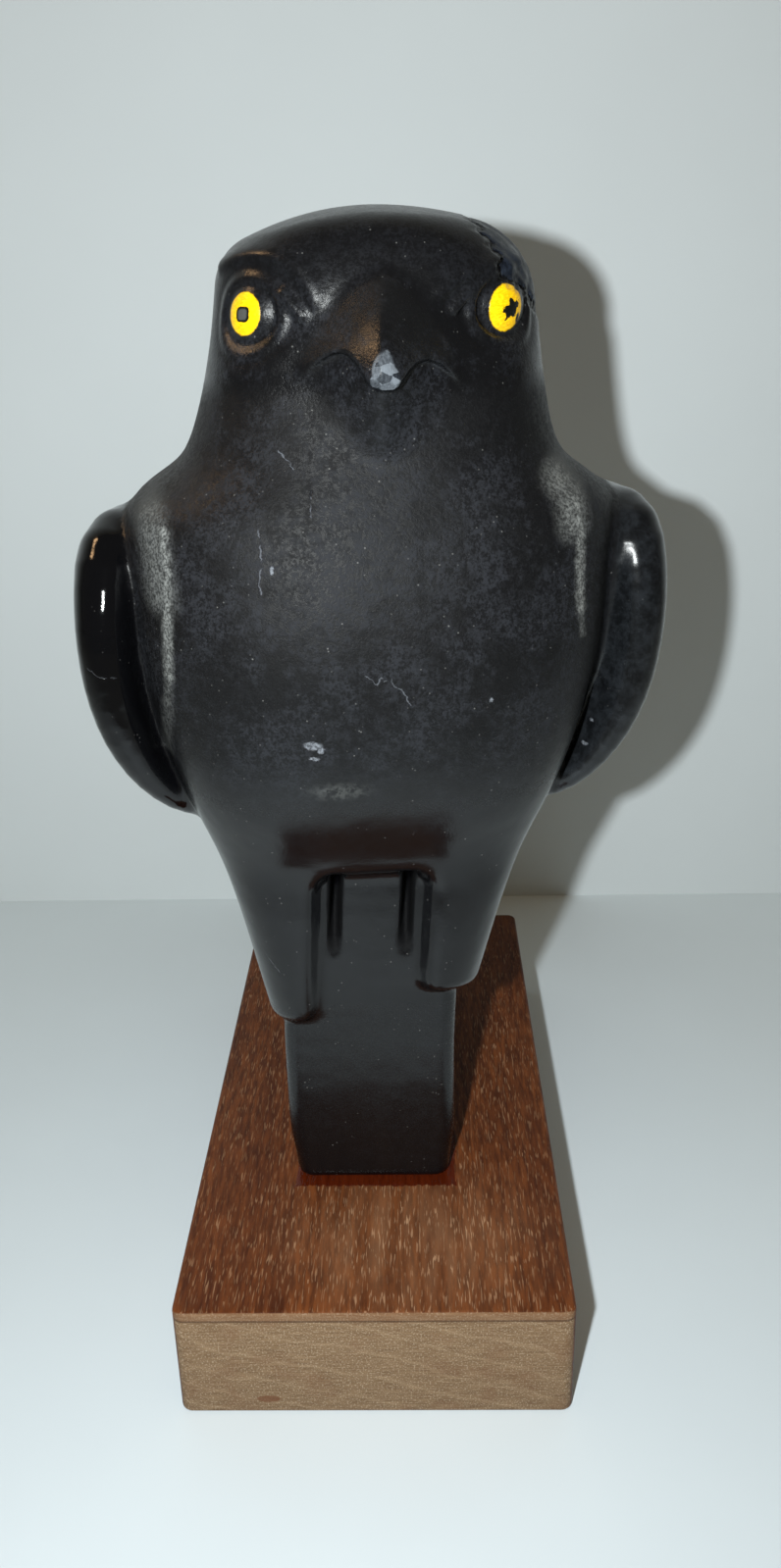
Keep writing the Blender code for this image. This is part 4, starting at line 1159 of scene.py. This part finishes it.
def wood_material():
    """Red-brown hardwood: pale pores along the grain above, lighter end grain in front and behind."""
    nodes = Nodes("oiled_hardwood")
    place = nodes.place() * MILLIMETRES
    across, along, up = place.separate()
    _, normal_y, _ = nodes.put("ShaderNodeNewGeometry", output="Normal").separate()

    drift = (place * (1.0, 0.15, 1.0)).noise(14.0, output="Color") * 2.0
    grain_place = place * (1.0, 0.12, 1.0) + drift
    broad = grain_place.noise(9.0, 3.0, 0.55)
    streaks = grain_place.noise(1.3, 3.0, 0.6)
    pores = (place * (1.0, 0.095, 1.0)).noise(0.48, 1.0, 0.5)
    pore_share = pores.slope(0.57, 0.66)
    pore_share = pore_share * place.noise(12.0, 2.0).slope(0.35, 0.6, 0.35, 1.0)
    top = streaks.shades(0.3, 0.7, (70, 33, 13), (112, 60, 27))
    top = top.tint(broad.slope(0.35, 0.7), (56, 20, 6), 0.55)
    dusty = nodes.join(across, along).blob(*DUSTY, 0.9)
    dusty = dusty * grain_place.noise(4.0, 3.0).slope(0.3, 0.7, 0.3, 1.0)
    top = top.tint(dusty, (152, 110, 78), 0.45)
    top = top.tint(pore_share * dusty.blend(0.45, 0.85), (176, 136, 102))

    # A dark red, glossy margin of glue around the foot.
    foot = foot_margin(nodes, across, along)
    top = foot.mix(top, streaks.mix(linear(44, 8, 2), linear(92, 34, 12)))

    # End grain: fine level lines with slanting bands across them, below a lip.
    ring_place = place + place.noise(20.0, 2.0, output="Color") * 9.0
    ring_x, _, ring_z = ring_place.separate()
    bands = (ring_x * 0.22 + ring_z * 0.75).sine()
    level = (place * (0.06, 1.0, 1.0)).noise(0.5, 3.0, 0.65)
    end_pores = place.noise(0.5, 1.0)
    end = level.shades(0.3, 0.7, (104, 80, 56), (134, 108, 80))
    end = end.tint(bands.slope(0.86, 1.0), (176, 150, 118), 0.16)
    end = end.tint(end_pores.slope(0.54, 0.64), (186, 166, 140), 0.45)
    end = end.tint(place.noise(9.0, 2.0).slope(0.5, 0.7), (110, 76, 52), 0.3)
    end = end.tint(up.slope(LIP_HEIGHT + 0.1, LIP_HEIGHT + 0.5), (120, 84, 58), 0.5)
    under_lip = abs(up - LIP_HEIGHT).fall(0.15, 0.55)
    end = end.tint(under_lip, (64, 40, 25), 0.7)
    end = end.tint(nodes.join(across, up).blob(*KNOT, 0.15), (104, 66, 42), 0.8)

    facing_end = abs(normal_y).slope(0.5, 0.75)
    colour = facing_end.mix(top, end)
    roughness = facing_end.blend(pores.slope(0.45, 0.68, 0.5, 0.7), 0.75)
    roughness = foot.blend(roughness, 0.16)
    relief = facing_end.blend(streaks * 0.3 - pore_share, level + end_pores).bump(PORE_DEPTH)
    return nodes.finish(colour, roughness, relief, WOOD_IOR, WOOD_COLOUR)


def foot_margin(nodes, across, along):
    """1 on a scalloped margin around the foot, on top of the plinth."""
    ragged = nodes.join(across, along * 0.25).noise(1.6, 2.0, 0.6)
    beyond = abs(across - GLUE_CENTRE_X) - GLUE_HALF_WIDTH
    gap = most([beyond, GLUE_FRONT_Y - along, along - GLUE_BACK_Y])
    return (gap + (ragged - 0.5) * 3.0).fall(-0.1, 0.25)


def plinth_piece():
    """The plank, with its upright edges and its rims rounded."""
    low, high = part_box("plinth")
    shape = bmesh.new()
    bmesh.ops.create_cube(shape, size=1.0)
    size = high - low
    bmesh.ops.scale(shape, vec=size, verts=shape.verts)
    bmesh.ops.translate(shape, vec=(low + high) / 2.0, verts=shape.verts)

    def rise(edge):
        return abs(edge.verts[0].co.z - edge.verts[1].co.z)

    def round_off(edges, radius, segments):
        bmesh.ops.bevel(shape, geom=edges, offset=radius, segments=segments, profile=0.5, affect="EDGES")

    round_off([edge for edge in shape.edges if rise(edge) > size.z / 2.0], PLINTH_CORNER, 6)
    rims = [edge for edge in shape.edges if rise(edge) < 0.001 and edge.calc_face_angle(0.0) > 1.0]
    round_off(rims, PLINTH_RIM, 4)
    mesh = bpy.data.meshes.new("wood_plinth")
    shape.to_mesh(mesh)
    shape.free()
    mesh.shade_smooth()
    mesh.set_sharp_from_angle(angle=math.radians(SHARP_DEGREES))
    mesh.materials.append(wood_material())
    piece = add_object("wood_plinth", mesh)
    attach(piece, "root")
    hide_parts("plinth")
    return piece


def plain_material(name, colour, roughness):
    """A plain matt finish with a faint unevenness."""
    nodes = Nodes(name)
    uneven = nodes.place().noise(0.11, 3.0, 0.6)
    bright = linear(*colour)
    darker = tuple(value * 0.93 for value in bright[:3]) + (1.0,)
    nodes.feed(nodes.shader.inputs["Base Color"], uneven.mix(darker, bright))
    nodes.shader.inputs["Roughness"].default_value = roughness
    return nodes.material


def flat_sheet(name, corners, material):
    """One flat face of the stage."""
    mesh = bpy.data.meshes.new(name)
    mesh.from_pydata(corners, [], [(0, 1, 2, 3)])
    mesh.materials.append(material)
    sheet = add_object(name, mesh)
    return sheet


def add_stage():
    """A pale table and a pale wall behind it."""
    reach, back, top = STAGE_REACH, WALL_Y, WALL_HEIGHT
    floor = [(-reach, -reach, 0.0), (reach, -reach, 0.0), (reach, back, 0.0), (-reach, back, 0.0)]
    wall = [(-reach, back, 0.0), (reach, back, 0.0), (reach, back, top), (-reach, back, top)]
    flat_sheet("floor", floor, plain_material("pale_floor", *FLOOR_FINISH))
    flat_sheet("wall", wall, plain_material("pale_wall", *WALL_FINISH))


def add_lights():
    """A small bright light beside the camera with its glint, a warm one high on the left, a soft one
    overhead and the room's own faint light."""
    for name, place, target, width, power, colour, only_reflected in LIGHTS:
        light = bpy.data.lights.new(name, "AREA")
        light.shape = "DISK"
        light.size = width
        light.energy = power
        light.color = colour
        lamp = add_object(name, light)
        lamp.location = place
        lamp.rotation_euler = (Vector(target) - Vector(place)).to_track_quat("-Z", "Y").to_euler()
        lamp.visible_diffuse = not only_reflected
        lamp.visible_glossy = only_reflected
    world = bpy.data.worlds.new("room")
    world.use_nodes = True
    background = world.node_tree.nodes["Background"]
    background.inputs["Color"].default_value = ROOM_COLOUR
    background.inputs["Strength"].default_value = ROOM_STRENGTH
    bpy.context.scene.world = world


def add_camera():
    """The photograph's viewing place and angle."""
    camera = bpy.data.cameras.new("camera")
    camera.sensor_width = SENSOR_WIDTH
    camera.sensor_fit = "AUTO"
    camera.lens = FOCAL_PIXELS / max(PIXELS_ACROSS, PIXELS_UP) * SENSOR_WIDTH
    camera.clip_start = 0.01
    holder = add_object("camera", camera)
    placed = Matrix.Translation(CAMERA_PLACE)
    for degrees, axis in CAMERA_TURNS:
        placed = placed @ Matrix.Rotation(math.radians(degrees), 4, axis)
    holder.matrix_world = placed
    bpy.context.scene.camera = holder


add_camera()
add_lights()
add_stage()
plinth_piece()
falcon_piece()
bpy.context.scene.view_settings.view_transform = "Standard"
